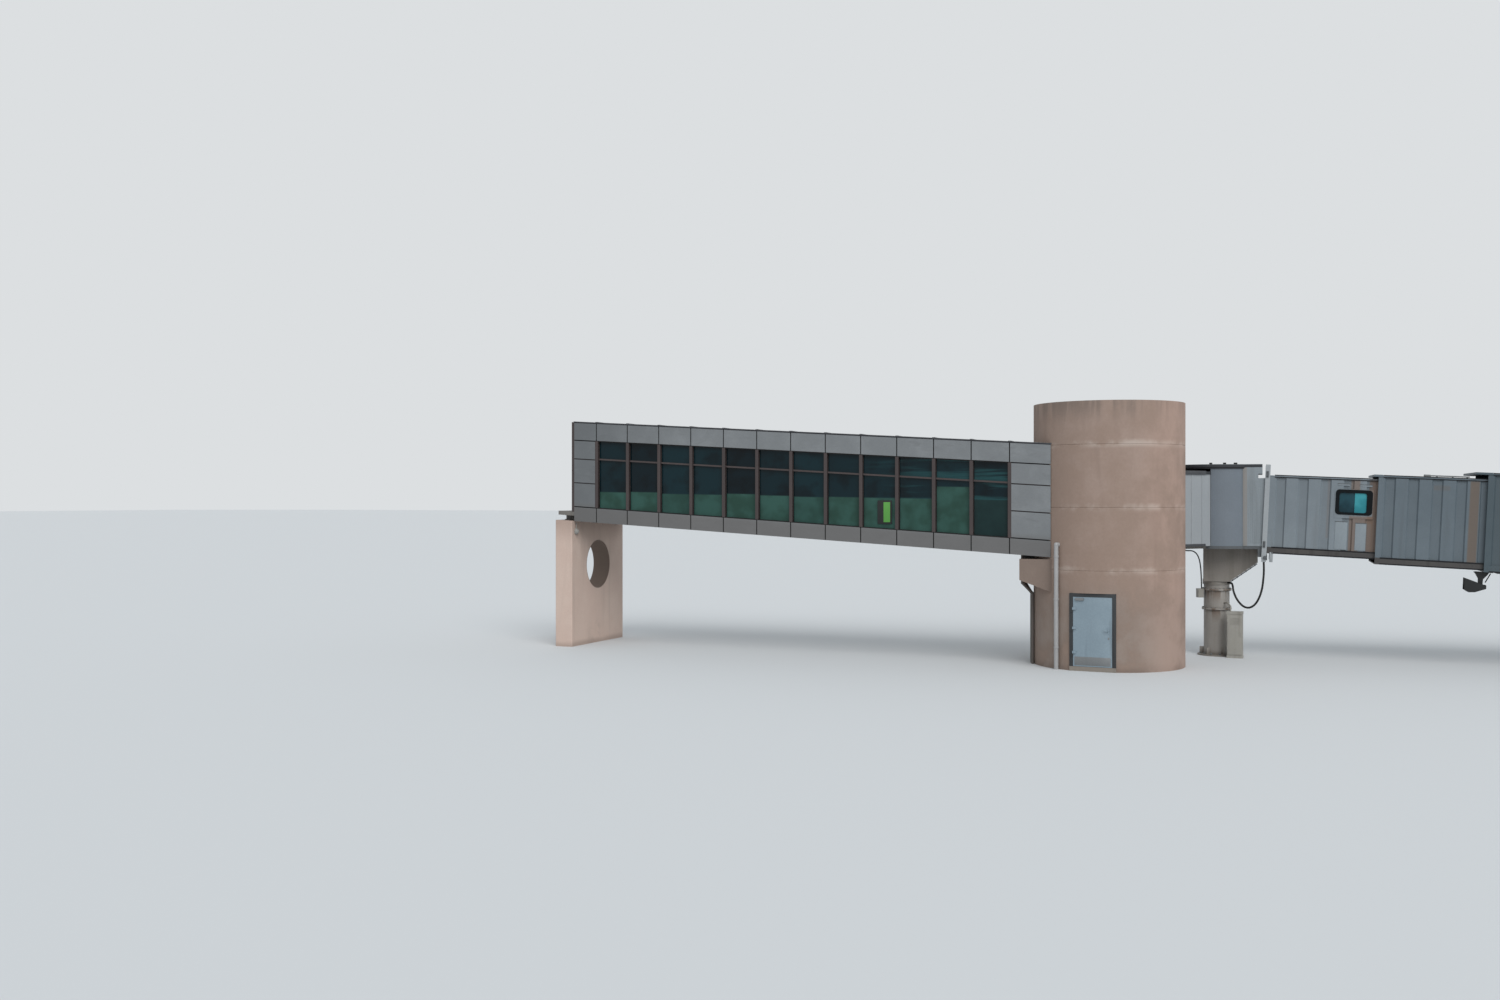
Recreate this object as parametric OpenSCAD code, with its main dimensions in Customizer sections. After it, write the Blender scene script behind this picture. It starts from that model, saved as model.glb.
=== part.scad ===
// Apron drive passenger boarding bridge at half scale, in millimetres.
// Origin: tower axis at ground. +X runs along the glazed link away from the terminal, +Z up.

/* [Glazed link] */
// Outside width of the link over its cladding
link_w = 1950; // [1700:10:2050]
// Height of the link's cladding, underside to roof edge
link_h = 1900; // [1700:10:2100]
// Fall of the link towards the tower, as rise over run
link_slope = 0.061; // [0.02:0.001:0.08]
// Underside of the cladding where the link meets the tower
link_z = 1835; // [1600:5:2000]
// Number of glazed bays
link_bays = 12; // [6:1:16]
// Width of one glazed bay
link_bay_w = 657; // [500:1:750]
// Length of the solid bay at the terminal end
link_start_w = 490; // [300:5:700]
// Length of the solid bay at the tower end
link_end_w = 705; // [500:5:900]
// Height of the top row of panels
link_top_band = 345; // [200:5:450]
// Height of the bottom row of panels
link_low_band = 288; // [200:4:400]
// Height of the upper panes above the transom
link_upper_pane = 355; // [250:5:500]
// Thickness of a cladding panel
link_panel_t = 30; // [15:1:40]
// Open joint between cladding panels
link_joint = 20; // [6:1:30]
// Thickness of the wall frame behind the panels
link_frame_t = 40; // [25:1:60]
// Width of a mullion
mullion_w = 60; // [30:2:90]
// How far the mullions stand in front of the wall frame
mullion_proud = 25; // [8:1:29]
// Thickness of the glass
glass_t = 12; // [6:1:16]
// Depth of the two floor beams
link_beam_h = 100; // [60:5:140]
// Width of a floor beam's flanges
link_beam_w = 110; // [60:5:160]
// Distance of each floor beam from the centre line
link_beam_y = 640; // [400:5:720]
// Thickness of the link's floor
link_deck_t = 75; // [50:5:120]
// Thickness of the link's roof
link_roof_t = 60; // [40:5:100]

/* [Pylon] */
// Thickness of the concrete pylon along the link
pylon_t = 360; // [250:10:500]
// Width of the pylon across the link
pylon_w = 2100; // [1900:10:2400]
// Diameter of the round hole through the pylon
pylon_hole_d = 930; // [500:10:1100]
// Height of the hole's centre above ground
pylon_hole_z = 1540; // [1200:10:1600]
// Size of the bevel on the pylon's upright edges
pylon_bevel = 12; // [4:1:25]

/* [Tower] */
// Outside radius of the tower
tower_r = 1255; // [1200:5:1350]
// Thickness of the tower's wall
tower_t = 125; // [80:5:160]
// Height of the tower
tower_h = 4425; // [4200:5:4800]
// Height of one casting lift of the tower wall
tower_lift_h = 1035; // [900:5:1200]
// Height of the first casting joint above ground
tower_joint_z = 1640; // [1350:5:1700]
// Depth of the groove at a casting joint
tower_groove = 7; // [3:1:12]
// Thickness of the ground slab
ground_slab_t = 75; // [50:5:120]
// Thickness of the upper floor and of the roof slab
tower_slab_t = 100; // [80:5:160]
// Height of the parapet above the roof slab
parapet_h = 150; // [80:5:250]

/* [Tower door] */
// Direction that the door faces
door_deg = -94; // [-100:1:-85]
// Width of the door leaf
door_w = 635; // [500:5:700]
// Height of the door leaf
door_h = 1135; // [950:5:1250]
// Thickness of the door leaf
door_t = 25; // [18:1:35]
// Width of the frame beside and over the leaf
door_frame_w = 58; // [40:1:70]
// Depth of the door frame
door_frame_t = 75; // [50:1:90]
// Distance of the frame's front from the tower axis
door_face_r = 1225; // [1205:1:1245]
// Gap between the leaf and its frame
door_gap = 3; // [2:0.5:5]
// Radius of the hinge barrels
knuckle_r = 8; // [6:0.5:10]

/* [Corbel and pipes] */
// Distance of the corbel's outer face from the tower axis
corbel_x = 1330; // [1300:5:1500]
// Depth of the corbel's outer face
corbel_face_h = 355; // [200:5:450]
// Height of the corbel's top
corbel_z = 1810; // [1600:5:1815]
// Depth of the corbel against the tower
corbel_root_h = 550; // [460:5:700]
// Length of a bearing pad along the link
pad_l = 160; // [80:5:200]
// Radius of the plastic drain pipe
drain_r = 37.5; // [20:0.5:50]
// Height of the drain pipe's outlet
drain_z = 2060; // [1500:5:2300]
// Direction of the drain pipe from the tower axis
drain_deg = -122; // [-135:1:-118]
// Radius of a conduit
conduit_r = 25; // [12:1:28]

/* [Corridor] */
// Direction of the fixed corridor from the tower axis
corridor_deg = 54; // [50:1:60]
// Outside half width of the corridor
corridor_hw = 400; // [350:5:450]
// Thickness of the corridor's walls
corridor_t = 60; // [40:5:80]
// Height of the corridor's wall tops above ground
corridor_top = 3250; // [3100:5:3300]
// Height of the corridor's wall bottoms above ground
corridor_low = 1990; // [1950:5:2010]
// Thickness of the corridor's roof
corridor_roof_t = 50; // [30:2:60]

/* [Rotunda] */
// Distance of the rotunda's centre from the tower axis
rotunda_d = 2725; // [2600:5:2900]
// Radius of the rotunda's floor and curtains
drum_r = 750; // [700:5:800]
// Radius of the rotunda's roof
rotunda_roof_r = 775; // [765:5:850]
// Height of the rotunda's floor above ground
rotunda_floor_z = 1990; // [1960:5:2000]
// Thickness of the rotunda's floor
rotunda_floor_t = 50; // [40:5:80]
// Height of the underside of the rotunda's roof
rotunda_roof_z = 3375; // [3340:5:3500]
// Thickness of the rotunda's roof
rotunda_roof_t = 55; // [30:5:70]
// Thickness of the roller curtains
curtain_t = 12; // [8:1:16]
// Height of the guide ring that covers the curtains' upper edge
guide_h = 25; // [20:1:60]

/* [Column] */
// Radius of the support column
column_r = 222; // [150:1:250]
// Height of the column's top
column_h = 1280; // [1200:5:1400]
// Height of the column's lower flange above ground
flange_low_z = 845; // [700:5:1000]
// Height of the column's upper flange above ground
flange_top_z = 1190; // [1100:5:1240]
// Width of the flanges beyond the column
flange_w = 35; // [20:1:50]
// Radius of the column's base plate
base_r = 330; // [280:5:400]
// Thickness of the column's base plate
base_t = 25; // [15:1:40]
// Number of anchor bolts
bolt_n = 12; // [8:2:16]
// Radius of the anchor bolt circle
bolt_circle_r = 285; // [255:1:290]
// Diameter of an anchor bolt hole
bolt_d = 22; // [14:1:30]

/* [Electrical cabinet] */
// Width of the floor-standing cabinet
cabinet_w = 275; // [200:5:350]
// Depth of the floor-standing cabinet
cabinet_d = 200; // [150:5:260]
// Height of the floor-standing cabinet
cabinet_h = 820; // [700:10:860]
// Distance of the cabinet's near corner from the column's axis along the link
cabinet_x = 200; // [190:5:260]
// Distance of the cabinet's near corner from the column's axis across the link
cabinet_y = -472; // [-520:2:-470]

/* [Vestibule and hinge] */
// Direction of the tunnels in plan
swing_deg = 2.4; // [-33:0.1:20]
// Fall of the tunnels below level
pitch_deg = 2.7; // [0:0.1:4.8]
// Distance of the hinge axis from the rotunda's centre
hinge_r = 820; // [800:5:900]
// Height of the hinge axis above ground
hinge_z = 1790; // [1740:5:1800]
// Outside half width of the vestibule
vest_hw = 598; // [560:1:598]
// Thickness of the vestibule's walls
vest_t = 40; // [25:1:50]
// Half width of the slewing head
head_hw = 260; // [200:5:320]
// Reach of the slewing head from the rotunda's centre
head_reach = 700; // [620:5:740]
// Depth of the slewing head's outer end
head_end_h = 250; // [180:5:350]
// Distance of the vestibule's neck over the tunnel from the rotunda's centre
neck_r = 690; // [660:5:700]
// Distance of the front of the vestibule's tall part from the rotunda's centre
cowl_r = 780; // [775:5:800]
// Thickness of the vestibule's roof sheets
cowl_t = 20; // [12:1:25]
// Width of a hinge lug
lug_w = 40; // [30:1:50]
// Thickness of the hinge beam along the tunnels
hinge_beam_w = 85; // [60:5:100]
// Depth of the hinge beam
hinge_beam_h = 140; // [100:5:160]
// Radius of a hinge pin
pin_r = 22; // [15:1:26]

/* [Tunnels] */
// Length of each telescoping tunnel
tunnel_l = 4000; // [3800:10:4200]
// Outside half width of tunnel A
a_hw = 645; // [643:1:650]
// Height of tunnel A's underside above the hinge axis
a_low = 80; // [60:1:120]
// Height of tunnel A
a_h = 1364; // [1300:1:1400]
// Height of tunnel A's floor plate above the underside of its rails
a_floor_rise = 85; // [60:1:90]
// Thickness of tunnel A's floor plate
a_plate_t = 30; // [20:1:40]
// Wall depth of the tunnels, over their corrugation
wall_t = 40; // [30:1:42]
// Depth of the corrugation
rib_t = 22; // [12:1:24]
// Pitch of the corrugation
rib_pitch = 360; // [300:5:450]
// Height of the floor's side rails
rail_h = 115; // [70:5:130]
// Thickness of a tunnel's floor plate
plate_t = 18; // [12:1:20]
// Thickness of a tunnel's roof
tunnel_roof_t = 20; // [14:1:24]
// Room between tunnel A's rails and tunnel B's floor plate
b_drop = 62; // [50:1:70]
// Running clearance between the floor plates
nest_low = 7; // [6:1:10]
// Extra room above a tunnel inside the next
nest_high = 40; // [20:5:60]
// Side clearance between two nested tunnels
nest_side = 10; // [6:1:16]
// Distance along the tunnels from the hinge to tunnel A
a_start = 20; // [20:5:40]
// Distance along the tunnels from the hinge to tunnel B
b_start = 1750; // [1700:5:2200]
// Distance along the tunnels from the hinge to tunnel C
c_start = 3405; // [3300:5:4000]
// Reach of tunnel B's roof lip over tunnel A
b_eave = 70; // [0:5:100]
// Reach of tunnel C's roof lip over tunnel B
c_eave = 190; // [0:5:200]
// Height of the hinge posts' tops above the hinge axis
post_top = 1630; // [1500:5:1650]
// Depth of a hinge post along the tunnels
post_w = 80; // [50:5:100]
// Distance from the hinge to the middle of tunnel A's window
window_x = 1392; // [1300:1:1400]
// Width of tunnel A's window
window_w = 550; // [400:5:560]
// Height of tunnel A's window
window_h = 420; // [300:5:450]
// Height of the window's middle above the hinge axis
window_z = 989; // [900:1:1100]

/* [Lift and wheels] */
// Distance from the hinge to the lift columns
lift_x = 6155; // [6000:5:6800]
// Outside width of a lift column
lift_w = 170; // [140:5:200]
// Wall thickness of a lift column
lift_t = 10; // [6:1:14]
// Gap between the lift column and its inner leg
lift_gap = 6; // [5:0.5:8]
// Length of the guide at the mouth of a lift column
guide_l = 90; // [60:5:150]
// Gap between tunnel C and the lift columns
lift_side = 30; // [20:5:60]
// Height of the inner legs' tops above the hinge axis
leg_top = 1000; // [900:10:1200]
// Radius of a drive wheel
wheel_r = 300; // [250:5:340]
// Width of a drive wheel
wheel_w = 175; // [120:5:200]
// Radius of the wheels' axle
axle_r = 45; // [30:1:60]
// Distance between the wheels' middles
wheel_track = 560; // [500:10:800]

/* [Cab] */
// Radius of the cab's round body
cab_r = 850; // [800:5:900]
// Length of the cab from its centre to its front
cab_l = 1150; // [1000:5:1300]
// Half width of the cab's front
cab_hw = 790; // [700:5:800]
// Wall thickness of the cab
cab_t = 30; // [20:1:40]
// Depth of the folding canopy
canopy_l = 380; // [250:5:500]
// Wall thickness of the folding canopy
canopy_t = 60; // [40:5:80]

/* [Cables] */
// Diameter of the power cable's loop
power_d = 36; // [20:1:40]
// Diameter of the corridor's cable
signal_d = 22; // [12:1:26]

/* [Clearances] */
// Gap between pieces that seat on each other
seat = 0.3; // [0.2:0.05:0.5]
// Movement joint between the link and the tower
move_joint = 6; // [5:1:15]
// Running clearance between moving and fixed pieces
run = 6; // [5:0.5:8]
// Clearance round a hinge pin
pin_gap = 0.5; // [0.3:0.1:1]

/* [Hidden] */

// The link is built in its own long section and sheared by its slope
half_w = link_w / 2;
link_l = link_start_w + link_bays * link_bay_w + link_end_w;
link_x1 = -sqrt(tower_r * tower_r - half_w * half_w);
link_x0 = link_x1 - link_l;
glazed_x0 = link_x0 + link_start_w;
glazed_x1 = glazed_x0 + link_bays * link_bay_w;
frame_y = half_w - link_panel_t;
frame_in_y = frame_y - link_frame_t;
glass_y = frame_in_y - glass_t;
beam_low = 10;
beam_web = 14;
deck_low = beam_low + link_beam_h;
deck_top = deck_low + link_deck_t;
wall_top = link_h - link_roof_t;
glass_low = link_low_band;
glass_top = link_h - link_top_band;
transom_z = glass_top - link_upper_pane;
transom_h = 30;
stub_x = link_x0 - pylon_t + 10;
floor_z = link_z + deck_top;

tower_in_r = tower_r - tower_t;
portal_z = floor_z - tower_slab_t;
link_portal_top = link_z + wall_top;
door_side = door_w / 2 + door_gap + door_frame_w;
door_head = ground_slab_t + door_h + 2 * door_gap;
door_top = door_head + door_frame_w;
pin_x = door_face_r + knuckle_r + 1;
pin_y = -(door_w / 2 + door_gap + 1);
leaf_x = door_face_r - door_t - 5;

// Half angles of the corridor's and the vestibule's jambs on the curtain's circle
corridor_half = asin(corridor_hw / drum_r);
vest_half = asin(vest_hw / drum_r);
rotunda_x = rotunda_d * cos(corridor_deg);
rotunda_y = rotunda_d * sin(corridor_deg);
back_deg = corridor_deg + 180;

a_top = a_low + a_h;
b_low = a_low - b_drop - plate_t;
b_hw = a_hw + nest_side + wall_t + 15;
b_top = a_top + nest_high + tunnel_roof_t + 5;
c_low = b_low - nest_low - plate_t;
c_hw = b_hw + nest_side + wall_t + 10;
c_top = b_top + nest_high + tunnel_roof_t + 40;
cab_x = c_start + tunnel_l + sqrt(cab_r * cab_r - c_hw * c_hw);

// Routes of the two hanging cables, along and across the tunnels and in the tower's own frame
power_route = [
  [800, -572, 1733], [800, -572, 1690], [802, -570, 1620], [800, -566, 1500], [790, -560, 1380],
  [775, -550, 1260], [745, -538, 1140], [700, -522, 1030], [640, -500, 945], [565, -470, 900],
  [485, -430, 905], [415, -385, 955], [355, -340, 1030], [315, -298, 1110], [290, -260, 1190],
  [280, -228, 1262], [264, -202, 1306], [230, -173, 1317], [194.4, -145.8, 1317]
];
signal_route = [
  [1145, 1150, 1944], [1146, 1155, 1905], [1158, 1200, 1840], [1180, 1290, 1745], [1208, 1405, 1645],
  [1236, 1530, 1550], [1264, 1650, 1470], [1290, 1765, 1400], [1310, 1870, 1345], [1328, 1960, 1310],
  [1342, 2030, 1282], [1350, 2070, 1245], [1351, 2082, 1225], [1351, 2084, 1200.8]
];
cord_sides = 10;

// A smooth curve through the route's points, with two rings a step
function curve_point(a, b, c, d, t) = 0.5 * (2 * b + (c - a) * t + (2 * a - 5 * b + 4 * c - d) * t * t
  + (3 * b - a - 3 * c + d) * t * t * t);
function curve(p) = concat(
  [for (i = [0 : len(p) - 2], t = [0, 0.5])
    curve_point(p[max(i - 1, 0)], p[i], p[i + 1], p[min(i + 2, len(p) - 1)], t)],
  [p[len(p) - 1]]
);
function unit(v) = v / norm(v);

module cord_tube(route, r) {
  p = curve(route);
  n = cord_sides;
  last = len(p) - 1;
  points = [for (i = [0 : last])
    let (d = unit(p[min(i + 1, last)] - p[max(i - 1, 0)]))
    let (a = unit(cross(d, [0.31, 0.95, 0.05])), b = cross(d, a))
    for (k = [0 : n - 1]) p[i] + r * (cos(360 * k / n) * a + sin(360 * k / n) * b)];
  faces = concat(
    [[for (k = [0 : n - 1]) k]],
    [for (i = [0 : last - 1], k = [0 : n - 1])
      [i * n + k, (i + 1) * n + k, (i + 1) * n + (k + 1) % n, i * n + (k + 1) % n]],
    [[for (k = [n - 1 : -1 : 0]) last * n + k]]
  );
  polyhedron(points = points, faces = faces, convexity = 4);
}

module xz(y0, y1, points) {
  translate([0, y1, 0]) rotate([90, 0, 0]) linear_extrude(height = y1 - y0) polygon(points);
}

// Height of the cladding's underside at x
function sole(x) = link_z + link_slope * (link_x1 - x);

// A four-sided shape that follows the link's slope
function raked(x0, x1, low, high) = [
  [x0, sole(x0) + low], [x1, sole(x1) + low], [x1, sole(x1) + high], [x0, sole(x0) + high]
];

module raked_bar(x0, x1, y0, y1, low, high) {
  xz(y0, y1, raked(x0, x1, low, high));
}

module both_sides() {
  for (side = [0, 1]) mirror([0, side, 0]) children();
}

module tower_void(extra) {
  translate([0, 0, -1]) cylinder(r = tower_r + extra, h = tower_h + 2, $fn = 120);
}

module at_door() {
  rotate([0, 0, door_deg]) children();
}

module at_corridor() {
  rotate([0, 0, corridor_deg]) children();
}

module at_rotunda() {
  translate([rotunda_x, rotunda_y, 0]) rotate([0, 0, swing_deg]) children();
}

module at_tunnel() {
  at_rotunda() translate([hinge_r, 0, hinge_z]) rotate([0, pitch_deg, 0]) children();
}

module pylon_wall() {
  x0 = link_x0 - pylon_t;
  b = pylon_bevel;
  color("#8f8678") difference() {
    xz(-pylon_w / 2, pylon_w / 2, [
      [x0, 0], [link_x0, 0], [link_x0, sole(link_x0) + beam_low - seat], [x0, sole(x0) + beam_low - seat]
    ]);
    translate([x0 - 1, 0, pylon_hole_z]) rotate([0, 90, 0])
      cylinder(d = pylon_hole_d, h = pylon_t + 2, $fn = 96);
    for (x = [x0, link_x0], side = [-1, 1])
      translate([x, side * pylon_w / 2, -1]) rotate([0, 0, 45])
        translate([-b, -b, 0]) cube([2 * b, 2 * b, sole(x0) + 2 * link_beam_h]);
  }
}

module link_beams() {
  color("#5d5a57") difference() {
    both_sides() {
      raked_bar(stub_x, 0, link_beam_y - link_beam_w / 2, link_beam_y + link_beam_w / 2,
        beam_low, beam_low + beam_web);
      raked_bar(stub_x, 0, link_beam_y - beam_web / 2, link_beam_y + beam_web / 2, beam_low, deck_low);
      raked_bar(stub_x, 0, link_beam_y - link_beam_w / 2, link_beam_y + link_beam_w / 2,
        deck_low - beam_web, deck_low);
    }
    tower_void(move_joint);
  }
}

module link_deck() {
  color("#6d6a66") difference() {
    raked_bar(stub_x, 0, -frame_y, frame_y, deck_low, deck_top);
    tower_void(move_joint);
  }
}

module link_roof() {
  color("#4a4a4a") difference() {
    union() {
      raked_bar(link_x0, 0, -frame_y, frame_y, wall_top, link_h);
      raked_bar(link_x0, 0, -half_w - 10, half_w + 10, link_h, link_h + 14);
    }
    tower_void(move_joint);
  }
}

// Wall frame of one side: a plate with a window in each bay, and a mullion between the windows
module wall_frame() {
  difference() {
    raked_bar(link_x0, link_x1 + 200, frame_in_y, frame_y, deck_top, wall_top);
    for (i = [0 : link_bays - 1]) {
      x0 = glazed_x0 + i * link_bay_w + mullion_w / 2;
      x1 = glazed_x0 + (i + 1) * link_bay_w - mullion_w / 2;
      raked_bar(x0, x1, frame_in_y - 1, frame_y + 1, glass_low, transom_z);
      raked_bar(x0, x1, frame_in_y - 1, frame_y + 1, transom_z + transom_h, glass_top);
    }
    tower_void(move_joint);
  }
  for (i = [0 : link_bays]) {
    x = glazed_x0 + i * link_bay_w;
    raked_bar(x - mullion_w / 2, x + mullion_w / 2, frame_y, frame_y + mullion_proud,
      glass_low, glass_top);
  }
}

module link_wall_frames() {
  color("#63534f") both_sides() wall_frame();
}

module link_glass() {
  color("#17383f") both_sides()
    raked_bar(glazed_x0, glazed_x1, glass_y, frame_in_y, deck_top + seat, glass_top + 20);
}

// One cladding panel that leaves half a joint on every side
module link_panel(x0, x1, low, high) {
  j = link_joint / 2;
  raked_bar(x0 + j, x1 - j, frame_y, half_w, low + j, high - j);
}

module link_end_bay(x0, x1) {
  third = (transom_z - glass_low) / 2 + glass_low;
  rows = [0, glass_low, third, transom_z, glass_top, link_h];
  m = mullion_w / 2 - link_joint / 2;
  for (i = [0, 4]) link_panel(x0, x1, rows[i], rows[i + 1]);
  for (i = [1 : 3]) link_panel(x0 + (x0 > link_x0 ? m : 0), x1 - (x0 > link_x0 ? 0 : m), rows[i], rows[i + 1]);
}

module link_panels() {
  color("#82888a") both_sides() {
    for (i = [0 : link_bays - 1]) {
      x = glazed_x0 + i * link_bay_w;
      link_panel(x, x + link_bay_w, 0, glass_low);
      link_panel(x, x + link_bay_w, glass_top, link_h);
    }
    link_end_bay(link_x0, glazed_x0);
    difference() {
      link_end_bay(glazed_x1, link_x1);
      tower_void(link_joint / 2);
    }
  }
}

module link_end_frame() {
  t = 60;
  post = 100;
  color("#63534f") union() {
    both_sides() raked_bar(link_x0 - t, link_x0, frame_y - post, frame_y, deck_top + seat, wall_top);
    raked_bar(link_x0 - t, link_x0, -frame_y, frame_y, wall_top - post, link_h);
  }
}

module corbel() {
  color("#a08a7c") difference() {
    xz(-half_w, half_w, [
      [-corbel_x, corbel_z - corbel_face_h], [link_x1, corbel_z - corbel_root_h],
      [-tower_in_r / 2, corbel_z - corbel_root_h], [-tower_in_r / 2, corbel_z], [-corbel_x, corbel_z]
    ]);
    tower_void(seat);
  }
}

module bearing_pads() {
  x0 = -corbel_x + 20;
  x1 = x0 + pad_l;
  color("#2e2d2c") both_sides() xz(link_beam_y - 60, link_beam_y + 60, [
    [x0, corbel_z], [x1, corbel_z], [x1, sole(x1) + beam_low - seat], [x0, sole(x0) + beam_low - seat]
  ]);
}

// Section of the tower's wall, with a groove at each casting joint
function wall_section(z0, z1) = concat(
  [[tower_in_r, z0], [tower_r, z0]],
  [for (z = [tower_joint_z : tower_lift_h : tower_h - 1]) if (z > z0 + 20 && z < z1 - 20)
    each [[tower_r, z - 8], [tower_r - tower_groove, z], [tower_r, z + 8]]],
  [[tower_r, z1], [tower_in_r, z1]]
);

module wall_sector(a0, a1, z0, z1) {
  rotate([0, 0, a0]) rotate_extrude(angle = a1 - a0, $fn = 120) polygon(wall_section(z0, z1));
}

// The door's opening runs up through the lower wall, and the lintel closes it again
module door_slot() {
  at_door() translate([tower_in_r / 2, -door_side, -10]) cube([tower_r, 2 * door_side, tower_h]);
}

module tower_base_wall_left() {
  color("#a58e81") difference() {
    wall_sector(door_deg + 180, door_deg + 360, 0, portal_z - seat);
    door_slot();
  }
}

module tower_base_wall_right() {
  color("#a58e81") difference() {
    wall_sector(door_deg, door_deg + 180, 0, portal_z - seat);
    door_slot();
  }
}

module tower_door_lintel() {
  color("#a58e81") intersection() {
    wall_sector(door_deg - 45, door_deg + 45, door_top, portal_z - seat);
    at_door() translate([0, -door_side, 0]) cube([tower_r + 1, 2 * door_side, tower_h]);
  }
}

// Where the upper wall's sectors start beside the two portals, a little inside the jambs
link_jamb = asin(frame_in_y / tower_r) - 3;
corridor_jamb = asin((corridor_hw - corridor_t) / tower_r) - 3;

module link_slot() {
  translate([-tower_r - 10, -frame_in_y, portal_z - 10])
    cube([tower_r, 2 * frame_in_y, tower_h]);
}

module corridor_slot() {
  w = corridor_hw - corridor_t;
  at_corridor() translate([tower_in_r / 2, -w, portal_z - 10]) cube([tower_r, 2 * w, tower_h]);
}

module tower_upper_wall_left() {
  color("#a58e81") difference() {
    wall_sector(180 + link_jamb, door_deg + 360, portal_z, tower_h);
    link_slot();
  }
}

module tower_upper_wall_right() {
  color("#a58e81") difference() {
    wall_sector(door_deg, corridor_deg - corridor_jamb, portal_z, tower_h);
    corridor_slot();
  }
}

module tower_upper_wall_back() {
  color("#a58e81") difference() {
    wall_sector(corridor_deg + corridor_jamb, 180 - link_jamb, portal_z, tower_h);
    link_slot();
    corridor_slot();
  }
}

module tower_lintels() {
  color("#a58e81") {
    intersection() {
      wall_sector(110, 250, link_portal_top, tower_h);
      translate([-tower_r - 10, -frame_in_y, 0]) cube([tower_r, 2 * frame_in_y, tower_h + 1]);
    }
    intersection() {
      wall_sector(corridor_deg - 60, corridor_deg + 60, corridor_top, tower_h);
      at_corridor() translate([tower_in_r / 2, corridor_t - corridor_hw, 0])
        cube([tower_r, 2 * (corridor_hw - corridor_t), tower_h + 1]);
    }
  }
}

module tower_slabs() {
  r = tower_in_r - seat;
  w = corridor_hw - corridor_t;
  color("#8d8378") {
    cylinder(r = r, h = ground_slab_t, $fn = 120);
    at_door() translate([tower_in_r / 2, -door_side + seat, 1])
      cube([door_face_r - tower_in_r / 2, 2 * (door_side - seat), ground_slab_t - 2]);
    translate([0, 0, portal_z]) cylinder(r = r, h = tower_slab_t, $fn = 120);
    translate([-sqrt(tower_r * tower_r - pow(frame_in_y, 2)), seat - frame_in_y, portal_z + 2])
      cube([tower_in_r / 2, 2 * (frame_in_y - seat), tower_slab_t - 4]);
    at_corridor() translate([tower_in_r / 2, seat - w, portal_z + 2])
      cube([sqrt(tower_r * tower_r - w * w) - tower_in_r / 2, 2 * (w - seat), tower_slab_t - 4]);
    translate([0, 0, tower_h - parapet_h - tower_slab_t])
      cylinder(r = r, h = tower_slab_t, $fn = 120);
  }
}

hinge_zs = [170, door_h / 2, door_h - 250];

module tower_door_frame() {
  w = door_side - door_frame_w;
  color("#35322f") at_door() {
    difference() {
      translate([door_face_r - door_frame_t, -door_side + seat, ground_slab_t - 1 + seat])
        cube([door_frame_t, 2 * (door_side - seat), door_top - ground_slab_t + 1 - 2 * seat]);
      translate([door_face_r - door_frame_t - 1, -w, ground_slab_t - 1])
        cube([door_frame_t + 2, 2 * w, door_head - ground_slab_t + 1]);
    }
    for (z = hinge_zs) translate([0, 0, ground_slab_t + z]) {
      translate([pin_x, pin_y, 0]) cylinder(r = knuckle_r, h = 40, $fn = 24);
      translate([door_face_r - 1, pin_y - 40, 0]) cube([pin_x - door_face_r, 40, 40]);
    }
  }
}

module tower_door() {
  z0 = ground_slab_t + door_gap;
  color("#8fa0a8") at_door() {
    translate([leaf_x, -door_w / 2, z0]) cube([door_t, door_w, door_h]);
    for (z = hinge_zs) translate([0, 0, ground_slab_t + z + 40 + seat]) {
      translate([pin_x, pin_y, 0]) cylinder(r = knuckle_r, h = 40, $fn = 24);
      translate([leaf_x + door_t - 1, -door_w / 2, 0]) cube([pin_x - leaf_x - door_t + 3, 50, 40]);
      translate([pin_x - 4, pin_y, 0]) cube([6, 30, 40]);
    }
    translate([leaf_x + door_t - 1, door_w / 2 - 70, z0 + door_h / 2 - 30])
      cube([5, 30, 110]);
    translate([leaf_x + door_t - 1, door_w / 2 - 55, z0 + door_h / 2 + 30]) rotate([0, 90, 0])
      cylinder(r = 7, h = 30, $fn = 24);
    translate([leaf_x + door_t + 24, door_w / 2 - 130, z0 + door_h / 2 + 23])
      cube([10, 82, 14]);
  }
}

module pipe_run(points, r) {
  for (i = [0 : len(points) - 2]) {
    d = points[i + 1] - points[i];
    l = norm(d);
    translate(points[i]) rotate([0, acos(d[2] / l), atan2(d[1], d[0])])
      cylinder(r = r, h = l, $fn = 32);
    if (i > 0) translate(points[i]) sphere(r = r + 2, $fn = 32);
  }
}

module drain_pipe() {
  r = tower_r + drain_r + 12;
  color("#a9abaa") rotate([0, 0, drain_deg]) {
    pipe_run([[tower_r + seat, 0, drain_z], [r, 0, drain_z], [r, 0, 0]], drain_r);
    for (z = [350, 1150, 1850]) translate([r, 0, z]) {
      cylinder(r = drain_r + 6, h = 25, $fn = 32);
      translate([tower_r + seat - r, -14, 0]) cube([drain_r, 28, 25]);
    }
  }
}

module conduits() {
  r = tower_r + conduit_r + 8;
  top = sole(-corbel_x) + beam_low;
  color("#b4a394") for (i = [0 : 2]) {
    a = 191 + 5 * i;
    y = -330 - 110 * i;
    wall = [r * cos(a), r * sin(a), 0];
    low = corbel_z - corbel_root_h - 60;
    pipe_run([
      wall, wall + [0, 0, low],
      [-corbel_x - conduit_r - 8, y, corbel_z - corbel_face_h - 70],
      [-corbel_x - conduit_r - 8, y, sole(-corbel_x - 8) + deck_low - seat]
    ], conduit_r);
  }
}

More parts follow.
